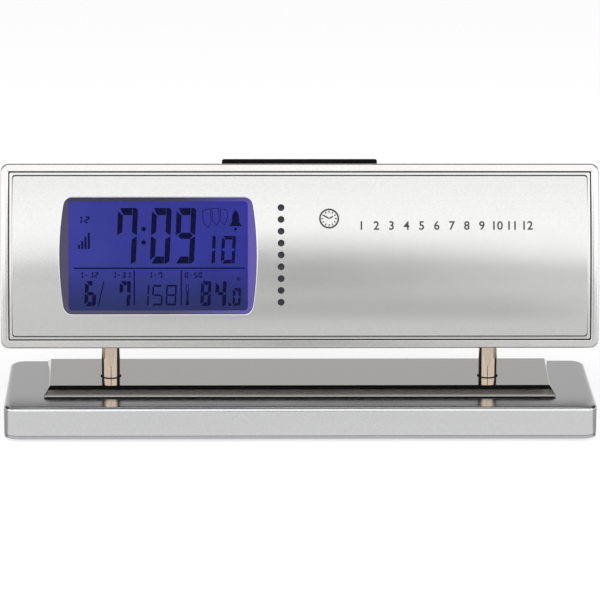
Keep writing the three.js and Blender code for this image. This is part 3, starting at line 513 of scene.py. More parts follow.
def along(tree, axis, start, end):
    """A value that goes smoothly from 0 to 1 between two places along an axis."""
    remap = tree.nodes.new("ShaderNodeMapRange")
    remap.interpolation_type = "SMOOTHSTEP"
    fill(remap, {"Value": coordinate(tree, "Object", axis), "From Min": start, "From Max": end})
    return remap.outputs["Result"]


def relief(tree, scale, depth):
    """Surface directions of a fine bump, depth in metres."""
    bump = tree.nodes.new("ShaderNodeBump")
    fill(bump, {"Distance": depth, "Height": noise(tree, scale)})
    return bump.outputs["Normal"]


def finish(name, colour, roughness, metallic, grain, patch, bump, shine=0.5):
    """A material with speckled colour, patchy gloss and a fine relief, each as (scale, amount)."""
    material, tree, bsdf = new_material(name)
    grain_scale, grain_share = grain
    dark = (*(c * (1 - grain_share) for c in colour), 1)
    light = (*(min(1, c * (1 + grain_share)) for c in colour), 1)
    patch_scale, patch_share = patch
    gloss = (roughness * (1 - patch_share), roughness * (1 + patch_share))
    fill(bsdf, {
        "Base Color": blend(tree, noise(tree, grain_scale), dark, light),
        "Metallic": metallic,
        "Roughness": spread(tree, noise(tree, patch_scale), *gloss),
        "Normal": relief(tree, *bump),
        "Specular IOR Level": shine,
    })
    return material


def glass_finish(name):
    """Clear thin pane, coated against glare."""
    material, tree, bsdf = new_material(name)
    fill(bsdf, {
        "Base Color": blend(tree, noise(tree, PANE_GRAIN), *PANE_COLOURS),
        "Roughness": spread(tree, noise(tree, PANE_PATCH), *PANE_GLOSS),
        "Alpha": PANE_ALPHA,
        "Specular IOR Level": 0,
    })
    return material


def display_finish(name):
    """Back-lit blue display: brighter at the upper left, duller along the foot, with soft blotches."""
    material, tree, bsdf = new_material(name)
    low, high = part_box("lcd_panel")
    across = colour_mix(tree, along(tree, "X", low.x, high.x), LCD_LEFT, LCD_RIGHT)
    foot_top = low.z + (high.z - low.z) * LCD_FOOT_SHARE
    fill(bsdf, {
        "Base Color": LCD_BLACK,
        "Roughness": LCD_ROUGHNESS,
        "Specular IOR Level": LCD_SHINE,
        "Emission Color": colour_mix(tree, along(tree, "Z", low.z, foot_top), LCD_LOW, across),
        "Emission Strength": spread(tree, noise(tree, LCD_BLOTCH, LCD_DETAIL), *LCD_LEVELS),
    })
    return material


def figure_finish(name):
    """Dark liquid crystal that still lets a little of the blue light through."""
    material, tree, bsdf = new_material(name)
    fill(bsdf, {
        "Base Color": FIGURE_BLACK,
        "Roughness": LCD_ROUGHNESS,
        "Specular IOR Level": LCD_SHINE,
        "Emission Color": blend(tree, noise(tree, FIGURE_BLOTCH, LCD_DETAIL), *FIGURE_TINTS),
        "Emission Strength": 1,
    })
    return material


def surround_finish(name):
    """Smoke grey plastic with a painted blue glow, standing in for the display's light on it, stronger towards the
    right.
    """
    material, tree, bsdf = new_material(name)
    low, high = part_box("display_surround")
    rightwards = along(tree, "X", (low.x + high.x) / 2, high.x)
    fill(bsdf, {
        "Base Color": blend(tree, noise(tree, SURROUND_GRAIN), *SURROUND_COLOURS),
        "Roughness": spread(tree, noise(tree, SURROUND_PATCH), *SURROUND_GLOSS),
        "Normal": relief(tree, *SURROUND_RELIEF),
        # Painted light: the walls glow blue, more towards the right
        "Emission Color": SURROUND_PAINTED_GLOW_COLOUR,
        "Emission Strength": combine(tree, "MULTIPLY", rightwards, SURROUND_PAINTED_GLOW_LEVEL),
    })
    return material


# Colour, roughness, metal share, (scale, amount) of grain, gloss patches and relief, some with a shine
FINISHES = {
    "silver_case": ((0.52, 0.515, 0.51), 0.2, 1, (2600, 0.05), (50, 0.1), (5000, 5e-7)),
    "satin_face": ((0.505, 0.505, 0.5), 0.22, 1, (3200, 0.06), (40, 0.08), (5200, 4e-7)),
    "base_silver": ((0.54, 0.54, 0.545), 0.18, 1, (2600, 0.04), (45, 0.12), (4500, 1e-7)),
    # A darker copy of base_silver: painted shade on the floor plate's lip next to the floor
    "plate_silver": ((0.4, 0.4, 0.415), 0.18, 1, (2600, 0.04), (45, 0.12), (4500, 1e-7)),
    "deck_silver": ((0.525, 0.514, 0.5), 0.07, 1, (2600, 0.03), (45, 0.15), (900, 2e-8)),
    "polished_steel": ((0.49, 0.405, 0.325), 0.05, 1, (900, 0.03), (80, 0.3), (1500, 2e-8)),
    "plain_steel": ((0.46, 0.46, 0.47), 0.32, 1, (1200, 0.1), (300, 0.25), (2500, 3e-6)),
    "black_rubber": ((0.008, 0.008, 0.009), 0.7, 0, (1800, 0.3), (200, 0.1), (2200, 2e-5), 0.2),
    "grey_rubber": ((0.2, 0.2, 0.21), 0.7, 0, (1500, 0.15), (200, 0.1), (2200, 2e-5)),
    "black_gloss": ((0.004, 0.0028, 0.0034), 0.4, 0, (1500, 0.3), (120, 0.2), (2500, 8e-7), 0.04),
    "black_case": ((0.014, 0.014, 0.015), 0.48, 0, (1800, 0.2), (150, 0.12), (2200, 1.2e-5), 0.25),
    "light_guide": ((0.3, 0.34, 0.75), 0.35, 0, (400, 0.06), (100, 0.1), (900, 3e-6)),
    "white_plastic": ((0.75, 0.75, 0.72), 0.45, 0, (900, 0.04), (100, 0.1), (2500, 4e-6)),
    "grey_plastic": ((0.3, 0.3, 0.31), 0.42, 0, (1800, 0.08), (100, 0.1), (3000, 8e-6)),
    "board_green": ((0.02, 0.12, 0.045), 0.35, 0, (700, 0.2), (150, 0.2), (1500, 5e-6)),
    "ferrite": ((0.035, 0.033, 0.03), 0.7, 0, (1500, 0.3), (200, 0.1), (2500, 2e-5)),
    "copper_wire": ((0.55, 0.2, 0.08), 0.35, 1, (1500, 0.2), (300, 0.2), (3500, 3e-5)),
    "contact_brass": ((0.6, 0.45, 0.16), 0.3, 1, (900, 0.1), (200, 0.2), (2500, 3e-6)),
    "cell_jacket": ((0.05, 0.16, 0.08), 0.3, 0, (500, 0.15), (120, 0.2), (1500, 3e-6)),
    "black_felt": ((0.05, 0.053, 0.066), 0.95, 0, (4000, 0.4), (300, 0.05), (5000, 6e-5)),
    "face_ink": ((0.03, 0.03, 0.035), 0.5, 0, (3000, 0.2), (200, 0.1), (4000, 1e-6)),
}
finishes = {name: finish(name, *values) for name, values in FINISHES.items()}
finishes["dark_surround"] = surround_finish("dark_surround")
finishes["clear_lens"] = glass_finish("clear_lens")
finishes["display_glass"] = display_finish("display_glass")
finishes["figure_dark"] = figure_finish("figure_dark")


# Head: the window, the raised field of the face and the fine groove round it
WINDOW = outline(WINDOW_W, WINDOW_H, WINDOW_R, x=WINDOW_X)
RAISED = outline(FIELD_W, FIELD_H, FIELD_CORNER_R)
GROOVE = outline(FIELD_W + 2 * GROOVE_SIDE_W, FIELD_H + 2 * GROOVE_END_W, FIELD_CORNER_R)


def make_bezel():
    """Silver frame: rounded outside, slightly bowed front, and a pocket that the face plate sits in."""
    outer = outline(HEAD_W, HEAD_H, HEAD_CORNER_R)
    inner = outline(POCKET_W, POCKET_H, POCKET_R)
    sections = [level(outer, 0, flat(PARTING_Y))]
    for share, drop in quarter(1, RIM_EASE_STEPS):
        depth = behind(rim, drop * RIM_EASE_DROP)
        sections.append(eased(outer, share, depth, RIM_SIDE_EASE, RIM_END_EASE))
    for share, drop in reversed(quarter(1)):
        depth = behind(rim, drop * POCKET_EDGE)
        sections.append(eased(inner, -share, depth, POCKET_SIDE_EDGE, POCKET_EDGE))
    sections.append(level(inner, 0, flat(PARTING_Y)))
    add_loft("bezel_frame", sections, "silver_case", ["front_bezel"], closed=True)


def flare_reach(point):
    """How far the window's sloping wall runs out before the lip's rounding starts."""
    z, nz = point[1], point[3]
    reach = 0.0
    for _ in range(FLARE_ROUNDS):
        reach = FLARE_RUN * (LENS_Y - field(z + nz * reach) - LIP_R)
    return reach


def wall_end(extra, depth):
    """The line where the window's sloping wall ends, moved out by extra, on a depth curve."""
    return [moved(point, flare_reach(point) + extra, depth) for point in WINDOW]


def face_points(depth):
    """Loose points over the face, clear of its edges, the window and the row of holes."""
    edge = LIP_R + LIP_FIT + SHEET_MARGIN
    clear_w = WINDOW_W / 2 + flare_reach((0, 0, 1, 0)) + edge
    clear_h = WINDOW_H / 2 + flare_reach((0, WINDOW_H / 2, 0, 1)) + edge
    columns = int(FIELD_W / SHEET_STEP_X)
    rows = int(FIELD_H / SHEET_STEP_Z)
    points = []
    for column in range(1, columns):
        x = FIELD_W * (column / columns - 0.5)
        for row in range(1, rows):
            z = FIELD_H * (row / rows - 0.5)
            in_window = abs(x - WINDOW_X) < clear_w and abs(z) < clear_h
            near_dots = abs(x - DOT_X) < DOT_R + SHEET_MARGIN
            if not in_window and not near_dots:
                points.append((x, depth(z), z))
    return points


def follow_curve(mesh):
    """Shades the convex front by its curve instead of by its triangles."""
    inverse = HEAD.inverted()
    places = [inverse @ vertex.co / MM for vertex in mesh.vertices]
    on_front = [abs(place.y - field(place.z)) < FRONT_REACH for place in places]
    normals = [Vector(corner.vector) for corner in mesh.corner_normals]
    for polygon in mesh.polygons:
        if all(on_front[i] for i in polygon.vertices):
            for corner in polygon.loop_indices:
                across = places[mesh.loops[corner].vertex_index].z / FIELD_R
                local = Vector((0, -math.sqrt(1 - across**2), across))
                normals[corner] = HEAD.to_3x3() @ local
    mesh.normals_split_custom_set(normals)


def make_face_line():
    """Dark fill in the groove, a little below the plate's flange: painted shade for the groove's depth."""
    top, bottom = behind(rim, LINE_SINK), behind(rim, GROOVE_DEPTH - LINE_FIT)
    sections = [level(GROOVE, -LINE_FIT, top), level(RAISED, LINE_FIT, top)]
    sections += [level(RAISED, LINE_FIT, bottom), level(GROOVE, -LINE_FIT, bottom)]
    # Painted shade: the print ink darkens the groove where its shadow falls
    add_loft("face_line", sections, "satin_face", closed=True, dress="face_ink")


def make_face_plate():
    """Thin pressed plate: a flange, a fine groove, a raised convex field, the window and nine holes."""
    flange = outline(FLANGE_OUT_W, FLANGE_OUT_H, FLANGE_R)
    back = behind(field, PLATE_T)
    shell = Shell()
    sections = [level(flange, 0, flat(PLATE_BACK_Y))]
    for inset, drop in quarter(FLANGE_EDGE, EDGE_STEPS):
        sections.append(level(flange, -inset, behind(rim, drop)))
    bottom = behind(rim, GROOVE_DEPTH)
    sections += [level(GROOVE, 0, rim), level(GROOVE, 0, bottom), level(RAISED, 0, bottom)]
    for inset, drop in quarter(FIELD_EDGE, SMALL_ROUND_STEPS):
        sections.append(level(RAISED, -inset, behind(field, drop)))
    front_rings = shell.loft(sections)
    back_rings = shell.loft([level(RAISED, -PLATE_T, depth) for depth in (flat(PLATE_BACK_Y), back)])
    shell.bridge(back_rings[0], front_rings[0])
    roll = reversed(quarter(LIP_R))
    lip = [wall_end(LIP_FIT + inset, behind(field, drop)) for inset, drop in roll]
    holes = [shell.loft(lip + [wall_end(LIP_FIT, back)])]
    for i in range(DOT_COUNT):
        z = DOT_Z + ((DOT_COUNT - 1) / 2 - i) * DOT_PITCH
        dot = circle(DOT_R, DOT_X, z, DOT_SIDES)
        holes.append(shell.loft([level(dot, 0, field), level(dot, 0, back)]))
    shell.sheet(front_rings[-1], [rings[0] for rings in holes], face_points(field))
    shell.sheet(back_rings[-1], [rings[-1] for rings in holes], face_points(back))
    plate = add_shell("face_panel", shell, "satin_face", ["face_plate"], even_flats=False)
    follow_curve(plate.data)


def make_surround():
    """Dark walls that taper from the face down to the pane."""
    seat = LENS_LAP + LENS_FIT
    under = behind(field, PLATE_T + SURROUND_FIT)
    sections = [
        wall_end(0, behind(field, LIP_R)),
        level(WINDOW, 0, flat(LENS_Y)),
        level(WINDOW, 0, flat(LENS_Y + LENS_FIT)),
        level(WINDOW, seat, flat(LENS_Y + LENS_FIT)),
        level(WINDOW, seat, flat(SURROUND_BACK_Y)),
        level(WINDOW, SURROUND_RIM, flat(SURROUND_BACK_Y)),
        level(WINDOW, SURROUND_RIM, under),
        wall_end(0, under),
    ]
    add_loft("window_surround", sections, "dark_surround", ["display_surround"], closed=True)


def make_lens():
    """Clear pane over the display."""
    front = flat(LENS_Y + LENS_FIT + LENS_GAP)
    sections = [level(WINDOW, LENS_LAP, depth) for depth in (front, flat(LENS_BACK_Y))]
    add_loft("window_lens", sections, "clear_lens", ["display_lens"], edge=LCD_EDGE)


def make_lcd_glass():
    """The display's own glass, behind the pane."""
    low, high = box_in("lcd_panel", HEAD)
    glass = Shell()
    sheet = [(low.x, low.z), (high.x, low.z), (high.x, high.z), (low.x, high.z)]
    glass.slab(sheet, flat(low.y), flat(high.y))
    add_shell("lcd_glass", glass, "display_glass", ["lcd_panel"], edge=LCD_EDGE)


# Figures of the display, in millimetres from the middle of the window
SLANT = math.tan(math.radians(2.5))
SEGMENTS = {
    "0": "abcdef", "1": "bc", "2": "abged", "3": "abgcd", "4": "fgbc", "5": "afgcd",
    "6": "afgedc", "7": "fabc", "8": "abcdefg", "9": "abcdfg", "-": "g",
}
# Text, left, foot, cell width, height, upright stroke, bar stroke, and the pitch of several digits
LCD_TEXT = [
    ("7", -14.4, -2.58, 6.75, 18.83, 1.73, 2.4),
    ("0", -2.9, -2.58, 6.65, 18.83, 1.73, 2.4),
    ("9", 5.45, -2.58, 6.65, 18.83, 1.73, 2.4),
    ("10", 14.4, -2.58, 4.75, 9.38, 1.15, 1.25, 6.8),
    ("6", -25.1, -17, 3.85, 8.45, 1.25, 1.4),
    ("7", -13.4, -17, 3.8, 8.45, 1.25, 1.4),
    ("8", 14.2, -17, 3.5, 8.45, 1.12, 1.3),
    ("4", 19.15, -17, 3.7, 8.45, 1.25, 1.4),
    ("0", 25.1, -16.9, 2.7, 6, 0.85, 0.95),
    ("158", -6.9, -16.8, 3.6, 7, 0.56, 0.66, 4.65),
    ("12", -27.6, 11.1, 1.8, 2.3, 0.58, 0.58, 2.5),
    ("1-12", -26.8, -7.45, 1.3, 1.95, 0.5, 0.5, 1.72),
    ("1-31", -15.7, -7.45, 1.3, 1.95, 0.5, 0.5, 1.66),
    ("1-7", -3.4, -7.45, 1.3, 1.95, 0.5, 0.5, 1.72),
    ("0-50", 8.9, -7.45, 1.2, 1.95, 0.46, 0.48, 1.56),
]
# Left, foot, width, height of plain bars
LCD_BARS = [
    (-28.6, -4.4, 58, 0.48),
    (-8.4, -16.8, 0.46, 11.9),
    (7.55, -16.8, 0.46, 11.9),
    (23.7, -16.95, 0.95, 1.1),
    (9.7, -15.4, 0.35, 3.6),
]
# Four signal bars, each taller than the one before
LCD_BARS += [(-27.2 + 1.1 * i, 2.4, 0.7, 1.3 + 1.4 * i) for i in range(4)]
# Middle and radius of round spots, and of the degree ring
LCD_SPOTS = [(-4.95, 9.13, 0.78), (-4.95, 4.55, 0.78), (9.88, -16.1, 0.62), (26.2, 9.1, 0.5)]
DEGREE_RING = (27.2, -7.8, 0.6)
DEGREE_LINE = 0.3
# Closed outlines: three zone cells and the thermometer's tube
LCD_OUTLINES = [
    [(14.9, 15.4), (17.6, 16.2), (18.1, 11.6), (16.9, 9.4), (15.2, 11.2)],
    [(17.95, 16.2), (20.6, 16.1), (20.8, 11.9), (19.9, 10.3), (18.45, 11.5)],
    [(20.95, 16.1), (23.4, 15.6), (23.6, 12.9), (22.4, 10.2), (21.15, 11.7)],
    [(9.35, -15.5), (10.4, -15.5), (10.4, -9.7), (9.35, -9.7)],
]
LCD_LINE = 0.2
LCD_BELL = [
    (24.0, 10.1), (28.4, 10.1), (27.5, 11.3), (27.4, 13.6), (26.9, 14.9),
    (26.2, 15.6), (25.5, 14.9), (25.0, 13.6), (24.9, 11.3),
]
LCD_SLASH = [(-20.5, -17), (-20.1, -17), (-18.3, -8.8), (-18.7, -8.8)]
SPOT_SIDES = 20
# Shares of a stroke's width
CELL_GAP = 0.09
CORNER_CUT = 0.35
SLANT_CUT = 0.45
FOOT_CUT = 0.6
END_CLEARANCE = 1.2


def digit_segments(w, h, s, b):
    """Outlines of the seven strokes in a cell of width w and height h, strokes s upright and b across."""
    gap = CELL_GAP * s
    middle = h / 2
    low, high = middle - b / 2, middle + b / 2
    left, right = s + gap, w - s - gap
    cut_s, cut_b = CORNER_CUT * s, CORNER_CUT * b
    slant_s, slant_b = SLANT_CUT * s, SLANT_CUT * b
    end = b + END_CLEARANCE * gap
    return {
        "a": [(cut_s, h), (right, h), (right, h - b), (left, h - b)],
        "b": [(w, middle + gap), (w, h - cut_b), (w - cut_s, h), (w - s, h), (w - s, high)],
        "c": [(w, middle - gap), (w, cut_b), (w - FOOT_CUT * s, 0), (w - s, 0), (w - s, low)],
        "d": [(cut_s, 0), (right, 0), (right, b), (left, b)],
        "e": [(0, middle - gap), (0, slant_b), (s, end), (s, low)],
        "f": [(0, middle + gap), (0, h - slant_b), (s, h - end), (s, high)],
        "g": [
            (slant_s, middle), (left, high - gap), (right, high - gap),
            (w - slant_s, middle), (right, low + gap), (left, low + gap),
        ],
    }


def text_polygons(text, left, foot, w, h, s, b, pitch=0):
    """All strokes of a row of digits, leaning a little to the right."""
    strokes = digit_segments(w, h, s, b)
    polygons = []
    for i, character in enumerate(text):
        for key in SEGMENTS[character]:
            polygons.append([(left + i * pitch + x + y * SLANT, foot + y) for x, y in strokes[key]])
    return polygons


def box_polygon(left, foot, width, height):
    return [(left, foot), (left + width, foot), (left + width, foot + height), (left, foot + height)]


def round_polygon(x, z, radius, sides=SPOT_SIDES):
    return [(px, pz) for px, pz, _, _ in circle(radius, x, z, sides)]


def drawn_in(polygon, width):
    """A convex outline moved in by a width, for either turning sense."""
    count = len(polygon)
    sides = zip(polygon, polygon[1:] + polygon[:1])
    area = sum(x0 * z1 - x1 * z0 for (x0, z0), (x1, z1) in sides)
    sense = 1 if area > 0 else -1
    corners = []
    for i in range(count):
        here = Vector(polygon[i])
        before = (here - Vector(polygon[i - 1])).normalized()
        after = (Vector(polygon[(i + 1) % count]) - here).normalized()
        normal_a = Vector((-before.y, before.x)) * sense
        normal_b = Vector((-after.y, after.x)) * sense
        mitre = (normal_a + normal_b).normalized()
        corners.append(tuple(here + mitre * (width / mitre.dot(normal_a))))
    return corners


def add_band(shell, polygon, width, front, back):
    """A closed outline of a given line width, between two depth curves."""
    inner = drawn_in(polygon, width)
    rings = [(polygon, front), (inner, front), (inner, back), (polygon, back)]
    shell.loft([[(x, depth(z), z) for x, z in points] for points, depth in rings], closed=True)


def make_figures():
    """All that the display shows, as thin dark plates on the front of its glass."""
    glass_y = box_in("lcd_panel", HEAD)[0].y
    back = flat(glass_y - FIGURE_GAP)
    front = flat(glass_y - FIGURE_GAP - FIGURE_T)
    polygons = [polygon for row in LCD_TEXT for polygon in text_polygons(*row)]
    polygons += [box_polygon(*row) for row in LCD_BARS]
    polygons += [round_polygon(*row) for row in LCD_SPOTS]
    polygons += [LCD_BELL, LCD_SLASH]
    shell = Shell()
    for polygon in polygons:
        shell.slab([(WINDOW_X + u, v) for u, v in polygon], front, back)
    bands = [(polygon, LCD_LINE) for polygon in LCD_OUTLINES]
    bands.append((round_polygon(*DEGREE_RING), DEGREE_LINE))
    for polygon, width in bands:
        add_band(shell, [(WINDOW_X + u, v) for u, v in polygon], width, front, back)
    add_shell("lcd_figures", shell, "display_glass", dress="figure_dark")


# Print on the face: a small dial sign and a row of hour numbers
DIAL_X = 9.7
DIAL_Z = 12.6
DIAL_R = 3.4
DIAL_LINE = 0.58
DIAL_SIDES = 48
DIAL_TICKS = 12
TICK_L = 0.7
TICK_W = 0.38
TICK_GAP = 0.2
HAND_W = 0.5
HAND_START = 0.25
# Angle from upright and reach of either hand
HANDS = [(math.radians(60), 1.5), (math.radians(-60), 2.2)]
HUB_R = 0.2
HOUR_COUNT = 12
HOURS_LEFT = 20.6
HOURS_PITCH = 5.1
HOURS_FOOT = 8.85
HOURS_H = 2.85
# In units of the text's own size
NUMBER_BOLD = 0.018
NUMBER_DEPTH = 0.5
NUMBER_CURVE_STEPS = 4
NUMBER_WELD_GAP = 1e-5


def line_polygon(x, z, angle, start, end, width):
    """A bar along a direction turned clockwise from upright by an angle."""
    dx, dz = math.sin(angle), math.cos(angle)
    sx, sz = dz * width / 2, -dx * width / 2
    near, far = (x + dx * start, z + dz * start), (x + dx * end, z + dz * end)
    return [
        (near[0] - sx, near[1] - sz), (near[0] + sx, near[1] + sz),
        (far[0] + sx, far[1] + sz), (far[0] - sx, far[1] - sz),
    ]


def make_dial_sign():
    """A small dial with hour ticks and two hands."""
    shell = Shell()
    front, back = behind(field, -INK_GAP - INK_T), behind(field, -INK_GAP)
    add_band(shell, round_polygon(DIAL_X, DIAL_Z, DIAL_R, DIAL_SIDES), DIAL_LINE, front, back)
    tick_out = DIAL_R - DIAL_LINE - TICK_GAP
    for i in range(DIAL_TICKS):
        angle = math.tau * i / DIAL_TICKS
        tick = line_polygon(DIAL_X, DIAL_Z, angle, tick_out - TICK_L, tick_out, TICK_W)
        shell.slab(tick, front, back)
    for angle, reach in HANDS:
        shell.slab(line_polygon(DIAL_X, DIAL_Z, angle, HAND_START, reach, HAND_W), front, back)
    shell.slab(round_polygon(DIAL_X, DIAL_Z, HUB_R), front, back)
    add_shell("dial_sign", shell, "satin_face", dress="face_ink")


def text_mesh(text):
    """The flat outline of a text in the built-in typeface, as a mesh with thickness."""
    curve = bpy.data.curves.new("number", "FONT")
    curve.body = text
    curve.align_x = "CENTER"
    curve.extrude = NUMBER_DEPTH
    curve.offset = NUMBER_BOLD
    curve.resolution_u = NUMBER_CURVE_STEPS
    holder = bpy.data.objects.new("number", curve)
    bm = bmesh.new()
    mesh = holder.to_mesh()
    bm.from_mesh(mesh)
    holder.to_mesh_clear()
    bpy.data.objects.remove(holder)
    bpy.data.curves.remove(curve)
    bmesh.ops.remove_doubles(bm, verts=bm.verts, dist=NUMBER_WELD_GAP)
    return bm


def make_hour_numbers():
    """Numbers 1 to 12 in an even row, laid on the convex face."""
    sample = text_mesh("1")
    scale = HOURS_H / max(vertex.co.y for vertex in sample.verts)
    sample.free()
    whole = bmesh.new()
    for hour in range(1, HOUR_COUNT + 1):
        bm = text_mesh(str(hour))
        for vertex in bm.verts:
            x = HOURS_LEFT + (hour - 1) * HOURS_PITCH + vertex.co.x * scale
            z = HOURS_FOOT + vertex.co.y * scale
            y = field(z) - INK_GAP - (INK_T if vertex.co.z > 0 else 0)
            vertex.co = HEAD @ (Vector((x, y, z)) * MM)
        piece = bpy.data.meshes.new("number")
        bm.to_mesh(piece)
        bm.free()
        whole.from_mesh(piece)
        bpy.data.meshes.remove(piece)
    add_object("hour_numbers", whole, "satin_face", [], "clock", dress="face_ink")


def make_snooze_cap():
    """Black bar with rounded upper edges, standing in the slot on top of the head."""
    low, high = box_in("snooze_bar", HEAD)
    above_head = [point for point in points_in("snooze_bar", HEAD) if point.z > HEAD_H / 2]
    half_length = max(point.x for point in above_head)
    middle = (low.y + high.y) / 2
    bar = outline(2 * half_length, high.y - low.y, BAR_CORNER_R, z=middle, side_steps=1)
    sections = [plan(bar, 0, low.z)]
    sections += [plan(bar, -inset, high.z - drop) for inset, drop in quarter(BAR_EDGE)]
    add_loft("snooze_cap", sections, "black_gloss", ["snooze_bar"], body="snooze_bar")


# Base
def make_base_case():
    """Hollow silver case, open below, with a rounded upper edge."""
    low, high = box_in("base_shell", CLOCK)
    low.z = box_in("base_floor_plate", CLOCK)[0].z + FLOOR_PLATE_EDGE_H + BASE_FOOT_GAP
    walls = outline(high.x - low.x, high.y - low.y, BASE_CORNER_R, side_steps=1)
    sections = [plan(walls, -BASE_WALL, high.z - BASE_CEILING), plan(walls, -BASE_WALL, low.z)]
    for inset, drop in reversed(quarter(BASE_FOOT_EDGE, BASE_FOOT_STEPS)):
        sections.append(plan(walls, -inset, low.z + drop))
    for share_in, share_down in quarter(1, BASE_EDGE_STEPS):
        sections.append(plan(walls, -share_in * BASE_EDGE_IN, high.z - share_down * BASE_EDGE_DOWN))
    add_loft("base_case", sections, "base_silver", ["base_shell"], axes=CLOCK)


def deck_box():
    """Corners of the deck, which reaches a little further to the front than its solid."""
    low, high = box_in("base_deck", CLOCK)
    low.y -= DECK_FRONT_OUT
    return low, high


def deck_rows(low, high):
    """Corners of the deck from its lip to its top, with a front that gets less steep upwards."""
    steps = len(DECK_SLOPES)
    lip_z = low.z + DECK_LIP
    rise = (high.z - lip_z) / steps
    runs = [0] + [rise / math.tan(math.radians(slope)) for slope in DECK_SLOPES]
    front_y = low.y
    rows = []
    for i, run in enumerate(runs):
        front_y += run
        back_y = high.y - i / steps * DECK_BACK_RUN
        in_front, in_back = i / steps * DECK_SIDE_RUN_FRONT, i / steps * DECK_SIDE_RUN_BACK
        corners = [
            (low.x + in_front, front_y), (high.x - in_front, front_y),
            (high.x - in_back, back_y), (low.x + in_back, back_y),
        ]
        rows.append([(x, y, lip_z + i * rise) for x, y in corners])
    return rows


def make_deck():
    """Bevelled plate on the base, steep at the sides and sloping along the front and the back."""
    low, high = deck_box()
    left, right = low.x + DECK_UNDERCUT, high.x - DECK_UNDERCUT
    front, back = low.y + DECK_UNDERCUT, high.y - DECK_UNDERCUT
    underside = lying(left, right, front, back, low.z + SHADOW_PAD_T)
    sections = [underside] + deck_rows(low, high)
    add_loft("deck_plate", sections, "deck_silver", ["base_deck"], axes=CLOCK, edge=DECK_EDGE)


def make_gasket():
    """Thin dark pad between the deck and the base: painted shade for the shadow line at the deck's foot."""
    low, high = deck_box()
    width = high.x - low.x - 2 * SHADOW_PAD_INSET
    depth = high.y - low.y - 2 * SHADOW_PAD_INSET
    pad = outline(width, depth, SHADOW_PAD_INSET, z=(low.y + high.y) / 2, side_steps=1)
    sections = [plan(pad, 0, low.z), plan(pad, 0, low.z + SHADOW_PAD_T)]
    add_loft("deck_gasket", sections, "black_rubber", axes=CLOCK)


def lathe(profile, x):
    """Rings round an upright axis at x for (radius, height) pairs."""
    return [plan(circle(radius, x, 0, ROUND_SIDES), 0, height) for radius, height in profile]


def make_rod(side, x, radius, foot, top):
    """Polished post with small bevels at its ends."""
    profile = [(radius - POST_EDGE, foot), (radius, foot + POST_EDGE)]
    profile += [(radius, top - POST_EDGE), (radius - POST_EDGE, top)]
    add_loft(f"post_rod_{side}", lathe(profile, x), "polished_steel", [f"post_{side}"], axes=CLOCK)


def make_collar(side, x, radius):
    """Dark ring round the foot of a post."""
    ring = f"post_ring_{side}"
    outer = radius + RING_W
    foot = box_in(ring, CLOCK)[0].z
    top = foot + RING_H
    profile = [(radius, foot), (outer, foot)]
    for inset, drop in quarter(RING_H / 2, SMALL_ROUND_STEPS):
        profile.append((outer - inset, top - drop))
    profile.append((radius, top))
    sections = lathe(profile, x)
    add_loft(f"post_collar_{side}", sections, "black_rubber", [ring], closed=True, axes=CLOCK)


def make_posts():
    """Both posts with their rings."""
    for side in ("left", "right"):
        low, high = box_in(f"post_{side}", CLOCK)
        x, radius = (low.x + high.x) / 2, (high.x - low.x) / 2
        make_rod(side, x, radius, low.z, high.z)
        make_collar(side, x, radius)


# Solids that only get rounded edges: start of the name, name of the piece, edge width and steps
REFINED = (
    ("rear_cover", "rear_case", 0.25, 2),
    ("battery_door", "door_panel", 0.2, 2),
    ("alarm_slider", "slider_knob", 0.15, 2),
    ("base_screw_", "base_screw_{}_head", 0.12, 2),
    ("cover_screw_", "cover_screw_{}_head", 0.12, 2),
    ("foot_", "foot_pad_{}", 0.25, 2),
    ("post_clamp_screw_", "post_clamp_screw_{}_head", 0.12, 2),
    ("rear_button_", "button_cap_{}", 0.35, 3),
)


def make_refined():
    """The pieces in that table, each in its solid's place."""
    for start, name, width, steps in REFINED:
        for node in sorted(nodes):
            if node.startswith(start):
                refine(node, name.format(node[len(start):]), width, steps)


# The floor plate gets a darker copy of the case's silver, whose slot it shares: painted shade where it meets the
# floor
PAINTED_SHADE_FINISH = {"base_floor_plate": "plate_silver"}


def dress_solids():
    """Gives every solid its finish, also those inside the case."""
    for node, obj in nodes.items():
        obj.data.materials.clear()
        obj.data.materials.append(finishes[PAINTED_SHADE_FINISH.get(node, slot_of[node])])


# Stage, light and camera, in metres
FLOOR_REACH = 4
FLOOR_TONE = 0.4
FLOOR_GLOW = 0.68
SKY_LEVEL = 0.77
SKY_TOP_LEVEL = 0.2
WHITE = (1, 1, 1, 1)
MATT_ROUGHNESS = 0.9
CAMERA_AZIMUTH = math.radians(-1.32)
CAMERA_ELEVATION = math.radians(15.47)
CAMERA_ROLL = math.radians(0.305)
CAMERA_DISTANCE = 1.3941
CAMERA_TARGET = Vector((0.0001, 0, 0.04166))
CAMERA_LENS = 245.3
CAMERA_CLIP = (0.01, 100)


def add_sheet(name, corners, tone):
    """A matt grey sheet of the stage, given back with its node tree and shader."""
    mesh = bpy.data.meshes.new(name)
    mesh.from_pydata(corners, [], [(0, 1, 2, 3)])
    sheet = new_object(name, mesh)
    material, tree, bsdf = new_material(name)
    fill(bsdf, {"Base Color": (tone, tone, tone, 1), "Roughness": MATT_ROUGHNESS, "Specular IOR Level": 0})
    mesh.materials.append(material)
    return sheet, tree, bsdf


